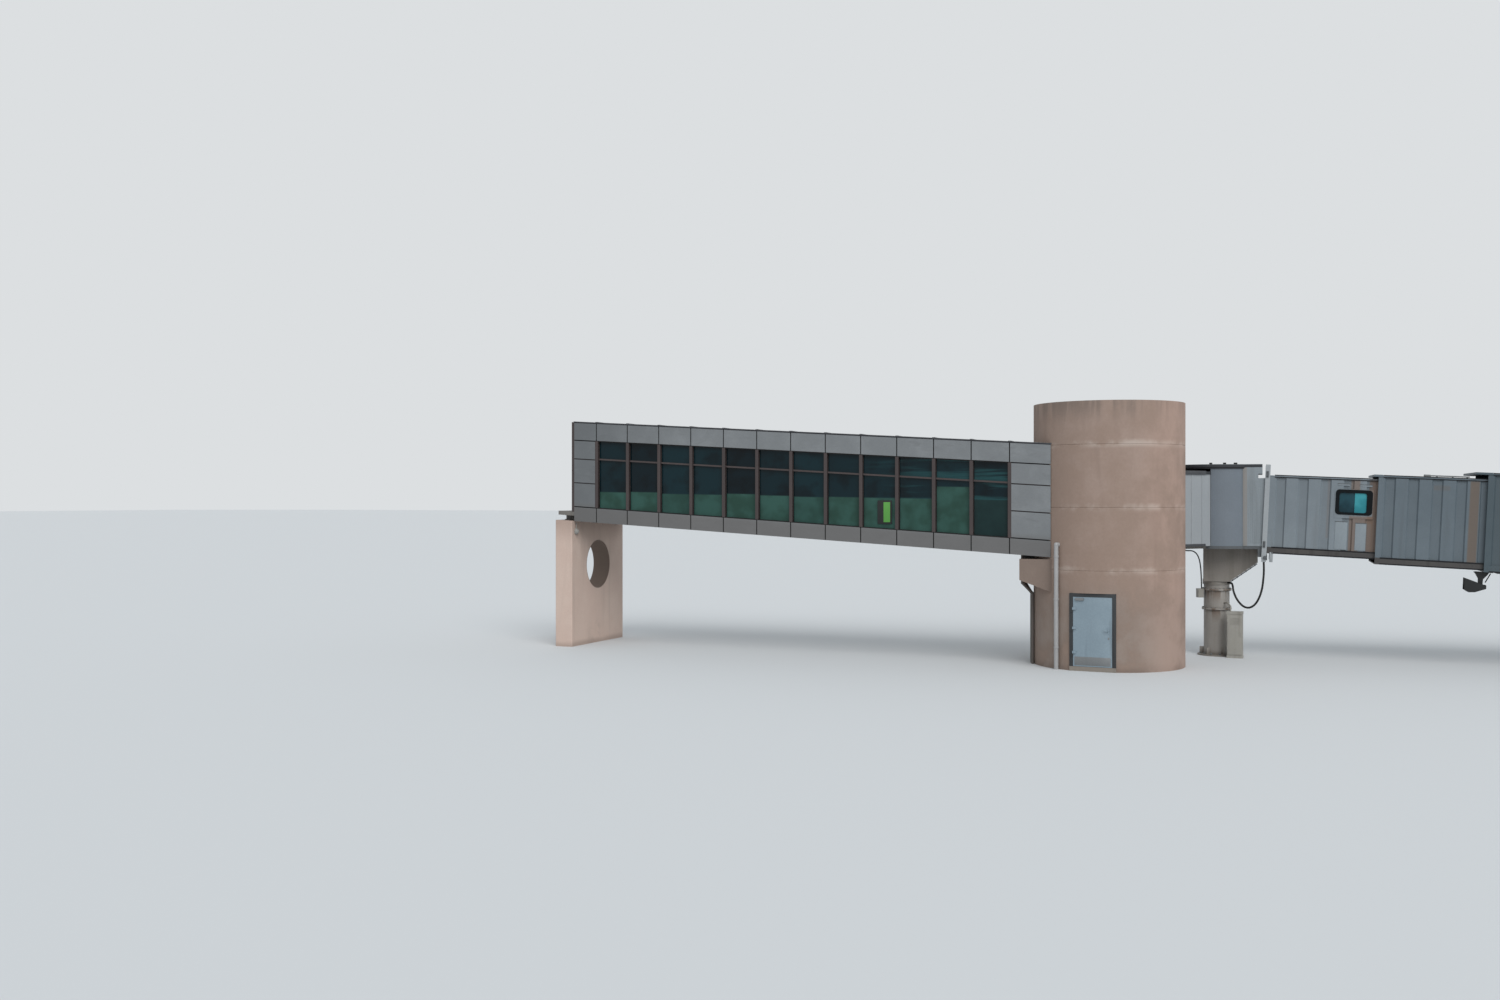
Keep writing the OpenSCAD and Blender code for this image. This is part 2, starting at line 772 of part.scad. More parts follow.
module corridor_floor() {
  w = corridor_hw - corridor_t;
  color("#77736d") difference() {
    at_corridor() translate([tower_in_r / 2, -w, floor_z - 75])
      cube([rotunda_d - tower_in_r, 2 * w, 75]);
    tower_void(seat);
    at_rotunda() translate([0, 0, floor_z - 200]) cylinder(r = drum_r + run, h = 400, $fn = 120);
  }
}

module corridor_walls() {
  color("#b9bcb8") difference() {
    at_corridor() both_sides() translate([tower_in_r / 2, corridor_hw - corridor_t, corridor_low])
      cube([rotunda_d - tower_in_r, corridor_t, corridor_top - corridor_low]);
    tower_void(seat);
    at_rotunda() translate([0, 0, 0]) cylinder(r = drum_r + run, h = tower_h, $fn = 120);
  }
}

module corridor_roof() {
  color("#8d9291") difference() {
    at_corridor() translate([tower_in_r / 2, -corridor_hw - 12, corridor_top])
      cube([rotunda_d - tower_in_r, 2 * corridor_hw + 24, corridor_roof_t]);
    tower_void(seat);
    at_rotunda() cylinder(r = drum_r + run, h = tower_h, $fn = 120);
  }
}

module column() {
  color("#a38d7c") difference() {
    union() {
      cylinder(r = base_r, h = base_t, $fn = 96);
      cylinder(r = column_r, h = column_h, $fn = 96);
      for (z = [flange_low_z, flange_top_z]) translate([0, 0, z - 15])
        cylinder(r = column_r + flange_w, h = 30, $fn = 96);
      for (i = [0 : 5]) rotate([0, 0, 60 * i]) translate([column_r - 5, -7, base_t - 1])
        rotate([90, 0, 90]) linear_extrude(height = base_r - column_r - 30)
        polygon([[0, 0], [14, 0], [14, 120], [0, 120]]);
    }
    for (i = [0 : bolt_n - 1]) rotate([0, 0, (i + 0.5) * 360 / bolt_n])
      translate([bolt_circle_r, 0, -1]) cylinder(d = bolt_d, h = base_t + 2, $fn = 32);
  }
}

module electrical_cabinets() {
  color("#b6b2a8") translate([rotunda_x, rotunda_y, 0]) {
    translate([cabinet_x, cabinet_y, 0]) {
      cube([cabinet_w, cabinet_d, 40]);
      translate([5, 5, 40]) cube([cabinet_w - 10, cabinet_d - 10, cabinet_h - 80]);
      translate([0, 0, cabinet_h - 40]) cube([cabinet_w, cabinet_d, 40]);
    }
    pipe_run([
      [cabinet_x + 60, cabinet_y + cabinet_d / 2, cabinet_h - 1],
      [cabinet_x + 60, cabinet_y + cabinet_d / 2, cabinet_h + 90],
      [330 * cos(-50), 330 * sin(-50), cabinet_h + 140],
      [(column_r + seat) * cos(-50), (column_r + seat) * sin(-50), cabinet_h + 140]
    ], 14);
    rotate([0, 0, 205]) translate([column_r + flange_w + seat, -60, 1040]) cube([100, 120, 160]);
  }
}

module curtain(a0, a1) {
  color("#6f7f86") translate([rotunda_x, rotunda_y, rotunda_floor_z + seat]) rotate([0, 0, a0])
    rotate_extrude(angle = a1 - a0, $fn = 120) translate([drum_r - curtain_t, 0])
    square([curtain_t, rotunda_roof_z - guide_h - rotunda_floor_z + 20]);
}

module curtain_near() {
  curtain(back_deg + corridor_half - 360, swing_deg - vest_half);
}

module curtain_far() {
  curtain(swing_deg + vest_half, back_deg - corridor_half);
}

module corridor_cable() {
  color("#161616") cord_tube(signal_route, signal_d / 2);
}

module power_cable() {
  color("#141414") at_rotunda() cord_tube(power_route, power_d / 2);
}

module slewing_head() {
  top = rotunda_floor_z - rotunda_floor_t;
  color("#a89684") at_rotunda() union() {
    translate([0, 0, column_h + seat]) cylinder(r = column_r + 20, h = 90, $fn = 96);
    xz(-head_hw, head_hw, [
      [-column_r, column_h + 60], [column_r, column_h + 60], [head_reach, top - head_end_h],
      [head_reach, top], [-column_r, top]
    ]);
  }
}

module hinge_beam() {
  top = rotunda_floor_z - rotunda_floor_t;
  lug_x = head_reach + hinge_beam_w - 1;
  color("#8b8178") at_rotunda() union() {
    translate([head_reach, -vest_hw, top - hinge_beam_h]) cube([hinge_beam_w, 2 * vest_hw, hinge_beam_h]);
    both_sides() {
      translate([lug_x, vest_hw - lug_w, hinge_z - 45]) cube([hinge_r + 35 - lug_x, lug_w, 100]);
      translate([hinge_r, vest_hw - lug_w, hinge_z]) rotate([-90, 0, 0])
        cylinder(r = pin_r, h = a_hw + 8 - vest_hw + lug_w, $fn = 48);
    }
    translate([power_route[0][0], power_route[0][1], power_route[0][2] + seat])
      cylinder(r = power_d / 2 + 6, h = hinge_z - power_route[0][2] - seat, $fn = 32);
  }
}

module rotunda_floor() {
  color("#6a6f70") at_rotunda() translate([0, 0, rotunda_floor_z - rotunda_floor_t]) union() {
    cylinder(r = drum_r, h = rotunda_floor_t, $fn = 120);
    translate([0, -vest_hw, 0]) cube([hinge_r - 5, 2 * vest_hw, rotunda_floor_t]);
  }
}

module rotunda_roof() {
  color("#7d8587") at_rotunda() union() {
    translate([0, 0, rotunda_roof_z]) {
      cylinder(r = rotunda_roof_r, h = rotunda_roof_t, $fn = 120);
      translate([0, -vest_hw, 0]) cube([cowl_r, 2 * vest_hw, rotunda_roof_t]);
    }
    translate([0, 0, rotunda_roof_z - guide_h]) difference() {
      cylinder(r = drum_r + 12, h = guide_h + 1, $fn = 120);
      translate([0, 0, -1]) cylinder(r = drum_r + 4, h = guide_h + 3, $fn = 120);
      translate([0, -vest_hw - seat, -1]) cube([2 * drum_r, 2 * (vest_hw + seat), guide_h + 1 - seat]);
    }
  }
}

vest_x0 = drum_r * cos(vest_half);
vest_roof_z = hinge_z + a_top - tunnel_roof_t - 50;

cowl_z = hinge_z + a_top + 25;

module vestibule_walls() {
  front = cowl_r - cowl_t - seat;
  shelf = cowl_z + cowl_t + seat;
  color("#98a3a5") at_rotunda() both_sides() xz(vest_hw - vest_t, vest_hw, [
    [vest_x0, rotunda_floor_z], [hinge_r - 5, rotunda_floor_z], [hinge_r - 5, rotunda_floor_z + 25],
    [hinge_r + 130, rotunda_floor_z + 25], [hinge_r + 175, vest_roof_z], [neck_r - seat, vest_roof_z],
    [neck_r - seat, shelf], [front, shelf], [front, rotunda_roof_z - seat],
    [vest_x0, rotunda_roof_z - seat]
  ]);
}

module vestibule_roof() {
  high = rotunda_roof_z - seat;
  color("#8e999b") at_rotunda() xz(-vest_hw, vest_hw, [
    [neck_r, vest_roof_z], [hinge_r + 175, vest_roof_z], [hinge_r + 175, vest_roof_z + cowl_t],
    [neck_r + cowl_t, vest_roof_z + cowl_t], [neck_r + cowl_t, cowl_z], [cowl_r, cowl_z],
    [cowl_r, high], [cowl_r - cowl_t, high], [cowl_r - cowl_t, cowl_z + cowl_t], [neck_r, cowl_z + cowl_t]
  ]);
}

// Outline of a corrugated wall seen from above, flat inside and ribbed outside
function ribbed(l, hw, t) =
  let (n = floor(l / rib_pitch), p = l / n, valley = p * 0.36, edge = p * 0.06)
  concat(
    [[0, hw - t], [l, hw - t], [l, hw]],
    [for (i = [n - 1 : -1 : 0]) let (x = (i + 0.5) * p)
      each [[x + valley / 2 + edge, hw], [x + valley / 2, hw - rib_t],
        [x - valley / 2, hw - rib_t], [x - valley / 2 - edge, hw]]],
    [[0, hw]]
  );

// A trough: floor plate with a side rail along each edge
module tunnel_floor(x0, l, hw, low, rise, thick) {
  translate([x0, 0, low]) {
    translate([0, -hw + 20, rise]) cube([l, 2 * hw - 40, thick]);
    both_sides() translate([0, hw - wall_t, 0]) cube([l, wall_t, rail_h]);
  }
}

module tunnel_walls(x0, l, hw, low, high) {
  translate([x0, 0, low + rail_h]) both_sides()
    linear_extrude(height = high - low - rail_h - tunnel_roof_t) polygon(ribbed(l, hw - 4, wall_t - 4));
}

module tunnel_roof(x0, l, hw, high, lip, eave) {
  translate([x0, -hw, high - tunnel_roof_t]) cube([l, 2 * hw, tunnel_roof_t]);
  if (lip > 0) translate([x0 - eave, -hw - 8, high - tunnel_roof_t])
    cube([eave + 70, 2 * hw + 16, tunnel_roof_t + lip]);
}

module window_cut(grow) {
  both_sides() translate([window_x - window_w / 2 - grow, a_hw - wall_t - 1, window_z - window_h / 2 - grow])
    cube([window_w + 2 * grow, wall_t + 2, window_h + 2 * grow]);
}

module tunnel_a_floor() {
  color("#5c6162") at_tunnel() difference() {
    tunnel_floor(a_start, tunnel_l, a_hw, a_low, a_floor_rise, a_plate_t);
    translate([a_start - 1, -a_hw + wall_t, a_low - 1]) cube([60, 2 * (a_hw - wall_t), rail_h + 2]);
  }
}

module tunnel_a_walls() {
  color("#8f9c9e") at_tunnel() difference() {
    tunnel_walls(a_start, tunnel_l, a_hw, a_low, a_top);
    window_cut(0);
  }
}

module tunnel_a_roof() {
  color("#7b8486") at_tunnel() {
    tunnel_roof(a_start, tunnel_l, a_hw, a_top, 0, 0);
    translate([a_start + tunnel_l - 160, -200, a_top - 1])
      cube([120, 400, b_top - tunnel_roof_t - a_top + 1 - seat]);
  }
}

module tunnel_a_posts() {
  t = wall_t - 5;
  color("#c9ccca") at_tunnel() difference() {
    both_sides() translate([a_start - post_w, a_hw - t, -75]) cube([post_w, t, post_top + 75]);
    both_sides() translate([0, a_hw - t - 1, 0]) rotate([-90, 0, 0])
      cylinder(r = pin_r + pin_gap, h = t + 2, $fn = 48);
  }
}

module tunnel_a_windows() {
  b = 22;
  color("#1b2426") at_tunnel() both_sides()
    translate([window_x - window_w / 2 + seat, a_hw - wall_t, window_z - window_h / 2 + seat]) {
      w = window_w - 2 * seat;
      h = window_h - 2 * seat;
      difference() {
        cube([w, wall_t - 2, h]);
        translate([b, wall_t - 12, b]) cube([w - 2 * b, 20, h - 2 * b]);
        translate([b, -1, b]) cube([w - 2 * b, 16, h - 2 * b]);
      }
    }
}

module tunnel_b_floor() {
  color("#50585a") at_tunnel() {
    tunnel_floor(b_start, tunnel_l, b_hw, b_low, 0, plate_t);
    both_sides() translate([b_start + 30, a_hw - wall_t + 1, b_low + plate_t - 1])
      cube([200, wall_t - 2, b_drop + 1 - seat]);
  }
}

module tunnel_b_walls() {
  color("#6c7a7e") at_tunnel() tunnel_walls(b_start, tunnel_l, b_hw, b_low, b_top);
}

module tunnel_b_roof() {
  color("#626d70") at_tunnel() {
    tunnel_roof(b_start, tunnel_l, b_hw, b_top, 16, b_eave);
    translate([b_start + tunnel_l - 160, -200, b_top - 1])
      cube([120, 400, c_top - tunnel_roof_t - b_top + 1 - seat]);
  }
}

module tunnel_c_floor() {
  color("#434b4d") at_tunnel() {
    tunnel_floor(c_start, tunnel_l, c_hw, c_low, 0, plate_t);
    both_sides() translate([c_start + 30, 350, c_low + plate_t - 1]) cube([200, 120, nest_low + 1 - seat]);
  }
}

module tunnel_c_walls() {
  color("#506368") at_tunnel() tunnel_walls(c_start, tunnel_l, c_hw, c_low, c_top);
}

module tunnel_c_roof() {
  color("#4a5a5f") at_tunnel() tunnel_roof(c_start, tunnel_l, c_hw, c_top, 16, c_eave);
}

lift_y = c_hw + lift_side;

// Height above the hinge axis of the ground and of the axle, square to the sloping tunnels
ground_w = (lift_x * sin(pitch_deg) - hinge_z) / cos(pitch_deg);
axle_w = ground_w + wheel_r / cos(pitch_deg);

module lift_columns() {
  g = lift_t + lift_gap;
  color("#8b9294") at_tunnel() {
    both_sides() difference() {
      union() {
        translate([lift_x - lift_w / 2, lift_y, c_low - 250]) cube([lift_w, lift_w, c_top - c_low + 500]);
        translate([lift_x - lift_w / 2, c_hw + seat, c_low]) cube([lift_w, lift_side, 90]);
        translate([lift_x - lift_w / 2, c_hw + seat, c_top - 90]) cube([lift_w, lift_side, 90]);
      }
      translate([lift_x - lift_w / 2 + lift_t, lift_y + lift_t, c_low - 250 + guide_l])
        cube([lift_w - 2 * lift_t, lift_w - 2 * lift_t, c_top - c_low + 480 - guide_l]);
      translate([lift_x - lift_w / 2 + g - seat, lift_y + g - seat, c_low - 251])
        cube([lift_w - 2 * (g - seat), lift_w - 2 * (g - seat), guide_l + 2]);
    }
    translate([lift_x - lift_w / 2, -lift_y - 2, c_low - 100 - seat]) cube([lift_w, 2 * lift_y + 4, 100]);
  }
}

module lift_legs() {
  g = lift_t + lift_gap;
  beam = axle_w + wheel_r + 30;
  color("#9aa0a1") at_tunnel() {
    both_sides() translate([lift_x - lift_w / 2 + g, lift_y + g, beam])
      cube([lift_w - 2 * g, lift_w - 2 * g, leg_top - beam]);
    translate([lift_x - 80, -lift_y - lift_w + 20, beam]) cube([160, 2 * (lift_y + lift_w - 20), 160]);
    translate([lift_x, 0, axle_w + 90]) cylinder(r = 120, h = beam - axle_w - 89, $fn = 48);
    translate([lift_x - 110, -wheel_track / 2 + wheel_w / 2 + 20, axle_w - 90])
      cube([220, wheel_track - wheel_w - 40, 200]);
    translate([lift_x, -wheel_track / 2 - wheel_w / 2 - 10, axle_w]) rotate([-90, 0, 0])
      cylinder(r = axle_r, h = wheel_track + wheel_w + 20, $fn = 48);
  }
}

module drive_wheels() {
  color("#1e1e1f") at_tunnel() both_sides()
    translate([lift_x, wheel_track / 2 - wheel_w / 2, axle_w]) rotate([-90, 0, 0])
    rotate_extrude($fn = 96) polygon([
      [axle_r + seat, 0], [150, 0], [160, 25], [200, 10], [wheel_r - 25, 0], [wheel_r, 25],
      [wheel_r, wheel_w - 25], [wheel_r - 25, wheel_w], [200, wheel_w - 10],
      [160, wheel_w - 25], [150, wheel_w], [axle_r + seat, wheel_w]
    ]);
}

cab_low = c_low;
cab_top = c_top + 30;

module cab_plan(grow) {
  circle(r = cab_r + grow, $fn = 96);
  translate([0, -cab_hw - grow]) square([cab_l, 2 * (cab_hw + grow)]);
}

module cab_floor() {
  color("#4b5254") at_tunnel() translate([cab_x, 0, cab_low]) difference() {
    linear_extrude(height = 60) cab_plan(0);
    translate([-2 * cab_r - (cab_x - c_start - tunnel_l), -cab_r, -1]) cube([2 * cab_r, 2 * cab_r, 62]);
  }
}

module cab_walls() {
  back = cab_x - c_start - tunnel_l;
  color("#76868b") at_tunnel() translate([cab_x, 0, cab_low + 60]) difference() {
    linear_extrude(height = cab_top - cab_low - 100) difference() {
      cab_plan(0);
      circle(r = cab_r - cab_t, $fn = 96);
      translate([0, -cab_hw + cab_t]) square([cab_l + 1, 2 * (cab_hw - cab_t)]);
      translate([-cab_r - 1, -c_hw + wall_t]) square([cab_r, 2 * (c_hw - wall_t)]);
    }
    translate([-2 * cab_r - back, -cab_r, -1]) cube([2 * cab_r, 2 * cab_r, cab_top]);
    both_sides() translate([260, cab_hw - cab_t - 1, 480]) cube([620, cab_t + 2, 520]);
  }
}

module cab_roof() {
  back = cab_x - c_start - tunnel_l;
  color("#6a797e") at_tunnel() translate([cab_x, 0, cab_top - 40]) difference() {
    linear_extrude(height = 40) cab_plan(15);
    translate([-2 * cab_r - back, -cab_r, -1]) cube([2 * cab_r, 2 * cab_r, 62]);
  }
}

module cab_canopy() {
  h = cab_top - cab_low - 100;
  color("#3b3f42") at_tunnel() translate([cab_x + cab_l + seat, 0, cab_low + 60]) difference() {
    translate([0, -cab_hw, 0]) cube([canopy_l, 2 * cab_hw, h]);
    translate([-1, -cab_hw + canopy_t, -1]) cube([canopy_l + 2, 2 * (cab_hw - canopy_t), h - canopy_t + 1]);
  }
}

pylon_wall();
link_beams();
link_deck();
link_roof();
link_wall_frames();
link_glass();
link_panels();
link_end_frame();
corbel();
bearing_pads();
tower_base_wall_left();
tower_base_wall_right();
tower_door_lintel();
tower_upper_wall_left();
tower_upper_wall_right();
tower_upper_wall_back();
tower_lintels();
tower_slabs();
tower_door_frame();
tower_door();
drain_pipe();
conduits();
corridor_floor();
corridor_walls();
corridor_roof();
translate([rotunda_x, rotunda_y, 0]) column();
electrical_cabinets();
curtain_near();
curtain_far();
corridor_cable();
power_cable();
slewing_head();
hinge_beam();
rotunda_floor();
rotunda_roof();
vestibule_walls();
vestibule_roof();
tunnel_a_floor();
tunnel_a_walls();
tunnel_a_roof();
tunnel_a_posts();
tunnel_a_windows();
tunnel_b_floor();
tunnel_b_walls();
tunnel_b_roof();
tunnel_c_floor();
tunnel_c_walls();
tunnel_c_roof();
lift_columns();
lift_legs();
drive_wheels();
cab_floor();
cab_walls();
cab_roof();
cab_canopy();
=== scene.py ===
import math

import bmesh
import bpy
from mathutils import Matrix, Vector


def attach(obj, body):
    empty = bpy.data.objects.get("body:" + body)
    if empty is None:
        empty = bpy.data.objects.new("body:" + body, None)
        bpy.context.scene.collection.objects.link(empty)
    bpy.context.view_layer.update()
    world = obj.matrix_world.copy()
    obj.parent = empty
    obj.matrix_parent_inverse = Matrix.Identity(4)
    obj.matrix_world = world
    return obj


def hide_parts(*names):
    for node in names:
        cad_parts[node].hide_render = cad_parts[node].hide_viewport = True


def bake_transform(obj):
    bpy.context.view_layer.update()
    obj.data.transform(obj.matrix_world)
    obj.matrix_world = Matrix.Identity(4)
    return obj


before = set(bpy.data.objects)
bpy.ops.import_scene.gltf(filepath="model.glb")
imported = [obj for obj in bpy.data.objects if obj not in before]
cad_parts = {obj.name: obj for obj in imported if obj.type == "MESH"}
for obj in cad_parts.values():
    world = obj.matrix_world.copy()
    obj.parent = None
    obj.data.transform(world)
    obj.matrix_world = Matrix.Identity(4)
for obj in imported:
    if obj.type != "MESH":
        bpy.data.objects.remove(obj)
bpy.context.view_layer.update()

# The photograph's view: a level camera well above the ground, turned a little to the left.
# A 34 mm lens on a 36 mm wide picture.
view = bpy.data.cameras.new("photo_view")
view.lens = 33.67
view.sensor_width = 36
view.clip_end = 400
camera = bpy.data.objects.new("photo_view", view)
camera.location = (3.468, -24.495, 2.8)
camera.rotation_euler = (math.radians(90), 0, math.asin(0.381))
bpy.context.scene.collection.objects.link(camera)
bpy.context.scene.camera = camera

# Power cable: one black rubber-sheathed cable that hangs in a loop from the hinge beam to the slewing head
# and turns with them. Matt rubber with a grey bloom of dust.
corridor_bearing, rotunda_reach, swing = math.radians(54), 2.725, math.radians(2.4)
rotunda_x = rotunda_reach * math.cos(corridor_bearing)
rotunda_y = rotunda_reach * math.sin(corridor_bearing)
at_column = Matrix.Translation((rotunda_x, rotunda_y, 0))
at_rotunda = at_column @ Matrix.Rotation(swing, 4, "Z")
power_d = 0.036


def linear(code):
    """An sRGB hex colour as the linear numbers that Blender takes."""
    parts = [int(code[i:i + 2], 16) / 255 for i in (1, 3, 5)]
    return [*(c / 12.92 if c <= 0.04045 else ((c + 0.055) / 1.055) ** 2.4 for c in parts), 1.0]


def add(tree, kind, wires=None, **settings):
    """Adds one node with its settings; wires gives an input its value or another node's output."""
    made = tree.nodes.new(kind)
    for name, value in settings.items():
        setattr(made, name, value)
    for name, value in (wires or {}).items():
        if isinstance(value, bpy.types.NodeSocket):
            tree.links.new(value, made.inputs[name])
        else:
            made.inputs[name].default_value = value
    return made


def result(tree, kind, wires=None, **settings):
    """Adds one node and gives its first output."""
    return add(tree, kind, wires, **settings).outputs[0]


def new_finish(name, **constants):
    """A material with its shader, whose constants sit on the shader's own sockets."""
    material = bpy.data.materials.new(name)
    material.use_nodes = True
    shader = material.node_tree.nodes["Principled BSDF"]
    for key, value in constants.items():
        shader.inputs[key.replace("_", " ")].default_value = value
    return material, material.node_tree, shader


def ramp(tree, value, low, high, to_low=0.0, to_high=1.0):
    """The value between low and high, spread over to_low to to_high."""
    wires = {"Value": value, "From Min": low, "From Max": high, "To Min": to_low, "To Max": to_high}
    return result(tree, "ShaderNodeMapRange", wires, interpolation_type="SMOOTHSTEP")


def blend_colour(tree, share, under, over):
    """One colour laid over another by a share."""
    return add(tree, "ShaderNodeMix", {0: share, 6: under, 7: over}, data_type="RGBA").outputs[2]


def cloudy(tree, spot, scale, detail, **more):
    """Soft cloudy noise, with more settings by the name of their socket."""
    wires = {"Vector": spot, "Scale": scale, "Detail": detail, **more}
    return result(tree, "ShaderNodeTexNoise", wires)


def smooth_route(points):
    """The cable's curve through its points, with two steps between each pair."""
    def point_at(a, b, c, d, t):
        """The point at a share t of the way from b to c, with a and d beyond them."""
        return 0.5 * (2 * b + (c - a) * t + (2 * a - 5 * b + 4 * c - d) * t * t
                      + (3 * b - a - 3 * c + d) * t * t * t)
    last = len(points) - 1
    out = [point_at(points[max(i - 1, 0)], points[i], points[i + 1], points[min(i + 2, last)], t)
           for i in range(last) for t in (0, 0.5)]
    return out + [points[last]]


def hanging_cable(name, route, diameter, material):
    """A cable as one open spline with a round section."""
    curve = bpy.data.curves.new(name, "CURVE")
    curve.dimensions = "3D"
    curve.bevel_depth = diameter / 2
    curve.bevel_resolution = 4
    curve.use_fill_caps = True
    line = curve.splines.new("POLY")
    points = smooth_route(route)
    line.points.add(len(points) - 1)
    for spot, point in zip(line.points, points):
        spot.co = (*point, 1)
    curve.materials.append(material)
    cable = bpy.data.objects.new(name, curve)
    bpy.context.scene.collection.objects.link(cable)
    return cable, sum((b - a).length for a, b in zip(points, points[1:]))


# Chloroprene rubber, extruded: near black, dull, with pale dust that gathers in soft patches
sheath, tree, shader = new_finish("chloroprene_cable_sheath", Roughness=0.62)
spot = add(tree, "ShaderNodeTexCoord").outputs["Object"]
dust = ramp(tree, cloudy(tree, spot, 7.0, 4.0), 0.5, 0.8, 0.0, 0.5)
tree.links.new(blend_colour(tree, dust, linear("#131414"), linear("#3a3a37")), shader.inputs["Base Color"])

power_route = [at_rotunda @ Vector(p) for p in (
    (0.800, -0.572, 1.733), (0.800, -0.572, 1.690), (0.802, -0.570, 1.620), (0.800, -0.566, 1.500),
    (0.790, -0.560, 1.380), (0.775, -0.550, 1.260), (0.745, -0.538, 1.140), (0.700, -0.522, 1.030),
    (0.640, -0.500, 0.945), (0.565, -0.470, 0.900), (0.485, -0.430, 0.905), (0.415, -0.385, 0.955),
    (0.355, -0.340, 1.030), (0.315, -0.298, 1.110), (0.290, -0.260, 1.190), (0.280, -0.228, 1.262),
    (0.264, -0.202, 1.306), (0.230, -0.173, 1.317), (0.1944, -0.1458, 1.317))]
power_cable, power_length = hanging_cable("power_loop", power_route, power_d, sheath)
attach(power_cable, "rotunda")
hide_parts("power_cable")

# Signal cable: a thinner black cable that leaves the corridor's floor and droops to the junction box on
# the column. The same rubber as the power cable.
signal_d = 0.022
signal_route = [Vector(p) for p in (
    (1.145, 1.150, 1.944), (1.148, 1.162, 1.921), (1.165, 1.235, 1.910), (1.195, 1.350, 1.905),
    (1.228, 1.480, 1.900), (1.262, 1.610, 1.880), (1.293, 1.730, 1.840), (1.318, 1.835, 1.775),
    (1.336, 1.915, 1.680), (1.346, 1.970, 1.565), (1.350, 2.010, 1.445), (1.351, 2.045, 1.335),
    (1.351, 2.070, 1.258), (1.351, 2.082, 1.225), (1.351, 2.084, 1.2008))]
signal_cable, signal_length = hanging_cable("signal_cable", signal_route, signal_d, sheath)
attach(signal_cable, "root")
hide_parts("corridor_cable")

# Pylon: a wall of cast concrete that stands on the ground, with a round hole through it. Grey-pink render
# coat, splashed at its foot, with painted shade in the bore and the link's shadow painted darker across its
# top.


def washed(tree, colour, share, code):
    """A colour with a hex colour laid over it by a share."""
    return blend_colour(tree, share, colour, linear(code))


def reckon(tree, operation, *values):
    """A maths node on its values, which are numbers or other nodes' outputs."""
    return result(tree, "ShaderNodeMath", dict(enumerate(values)), operation=operation)


def weathered(name, base, pale, stain, patch=0.6, streaks=0.5, grain_mm=6.0, rough=0.8, bump=0.3,
              metal=0.0, place=((0, 0, 0), (0, 0, 0)), foot=None, patch_size=0.9, drip=(7, 7, 0.4),
              gloss=0.5, extra=None):
    """A finish that has stood outdoors: soft pale patches, rain streaks down it, and a fine grain.
    foot is the height above which splashes of dirt have faded out, and extra paints more on top."""
    material, tree, shader = new_finish(name, Metallic=metal, Specular_IOR_Level=gloss)
    spot = add(tree, "ShaderNodeTexCoord").outputs["Object"]
    along = result(tree, "ShaderNodeMapping", {"Vector": spot, "Location": place[0], "Rotation": place[1]},
                   vector_type="TEXTURE")
    axes = add(tree, "ShaderNodeSeparateXYZ", {0: along}).outputs
    cloud = cloudy(tree, along, 1 / patch_size, 6.0, Roughness=0.62)
    run = result(tree, "ShaderNodeMapping", {"Vector": along, "Scale": drip})
    rain = cloudy(tree, run, 1.0, 4.0, Distortion=0.6)
    rain = reckon(tree, "MULTIPLY", rain, ramp(tree, cloud, 0.35, 0.65, 0.82, 1.08))
    fine = cloudy(tree, spot, 1000 / (grain_mm * 4), 4.0)
    colour = blend_colour(tree, ramp(tree, cloud, 0.38, 0.72, 0.0, patch), linear(base), linear(pale))
    colour = washed(tree, colour, ramp(tree, rain, 0.5, 0.74, 0.0, streaks), stain)
    if foot:
        splash = reckon(tree, "MULTIPLY", cloud, foot * 1.6)
        reach = reckon(tree, "SUBTRACT", axes[2], splash)
        colour = washed(tree, colour, ramp(tree, reach, -foot * 0.6, foot * 0.5, 0.75, 0.0), stain)
    colour = washed(tree, colour, ramp(tree, fine, 0.3, 0.7, 0.0, 0.12), stain)
    if extra:
        colour = extra(tree, colour, axes, cloud, rain)
    tree.links.new(colour, shader.inputs["Base Color"])
    tree.links.new(ramp(tree, cloud, 0.3, 0.7, rough - 0.08, rough + 0.08), shader.inputs["Roughness"])
    relief = add(tree, "ShaderNodeBump", {"Height": fine, "Strength": bump, "Distance": 0.004})
    tree.links.new(relief.outputs[0], shader.inputs["Normal"])
    return material


def times(tree, *values):
    """The product of several values."""
    product = values[0]
    for value in values[1:]:
        product = reckon(tree, "MULTIPLY", product, value)
    return product


def between(tree, value, low, high, soft):
    """1 between low and high and 0 outside, with a soft edge."""
    return times(tree, ramp(tree, value, low - soft, low + soft),
                 ramp(tree, value, high - soft, high + soft, 1.0, 0.0))


def dress(material, *nodes):
    """Gives CAD nodes their finish."""
    for name in nodes:
        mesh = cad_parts[name].data
        mesh.materials.clear()
        mesh.materials.append(material)


def shaded_bore_washes_and_shadow(tree, colour, axes, cloud, rain):
    """The bore painted dark as shade, grey wash marks that run down from it, and the link's shadow painted
    across the top.
    """
    bore_z, bore_r = 1.54, 0.462
    above = reckon(tree, "ADD", axes[2], -bore_z)
    flat = result(tree, "ShaderNodeCombineXYZ", {0: axes[1], 1: above})
    out = add(tree, "ShaderNodeVectorMath", {0: flat}, operation="LENGTH").outputs["Value"]
    # Painted shade: the inside of the bore made dark.
    colour = washed(tree, colour, ramp(tree, out, bore_r, bore_r + 0.023, 0.85, 0.0), "#4a3d33")
    wash = times(tree, between(tree, axes[1], -0.35, 0.1, 0.2), ramp(tree, axes[2], 0.1, 0.7, 0.5, 0.0),
                 ramp(tree, cloud, 0.45, 0.6))
    colour = washed(tree, colour, wash, "#7d6e64")
    # Painted shadow: the wall darker towards its top, under the link.
    return washed(tree, colour, ramp(tree, axes[2], 1.9, 2.45, 0.0, 0.5), "#8a7469")


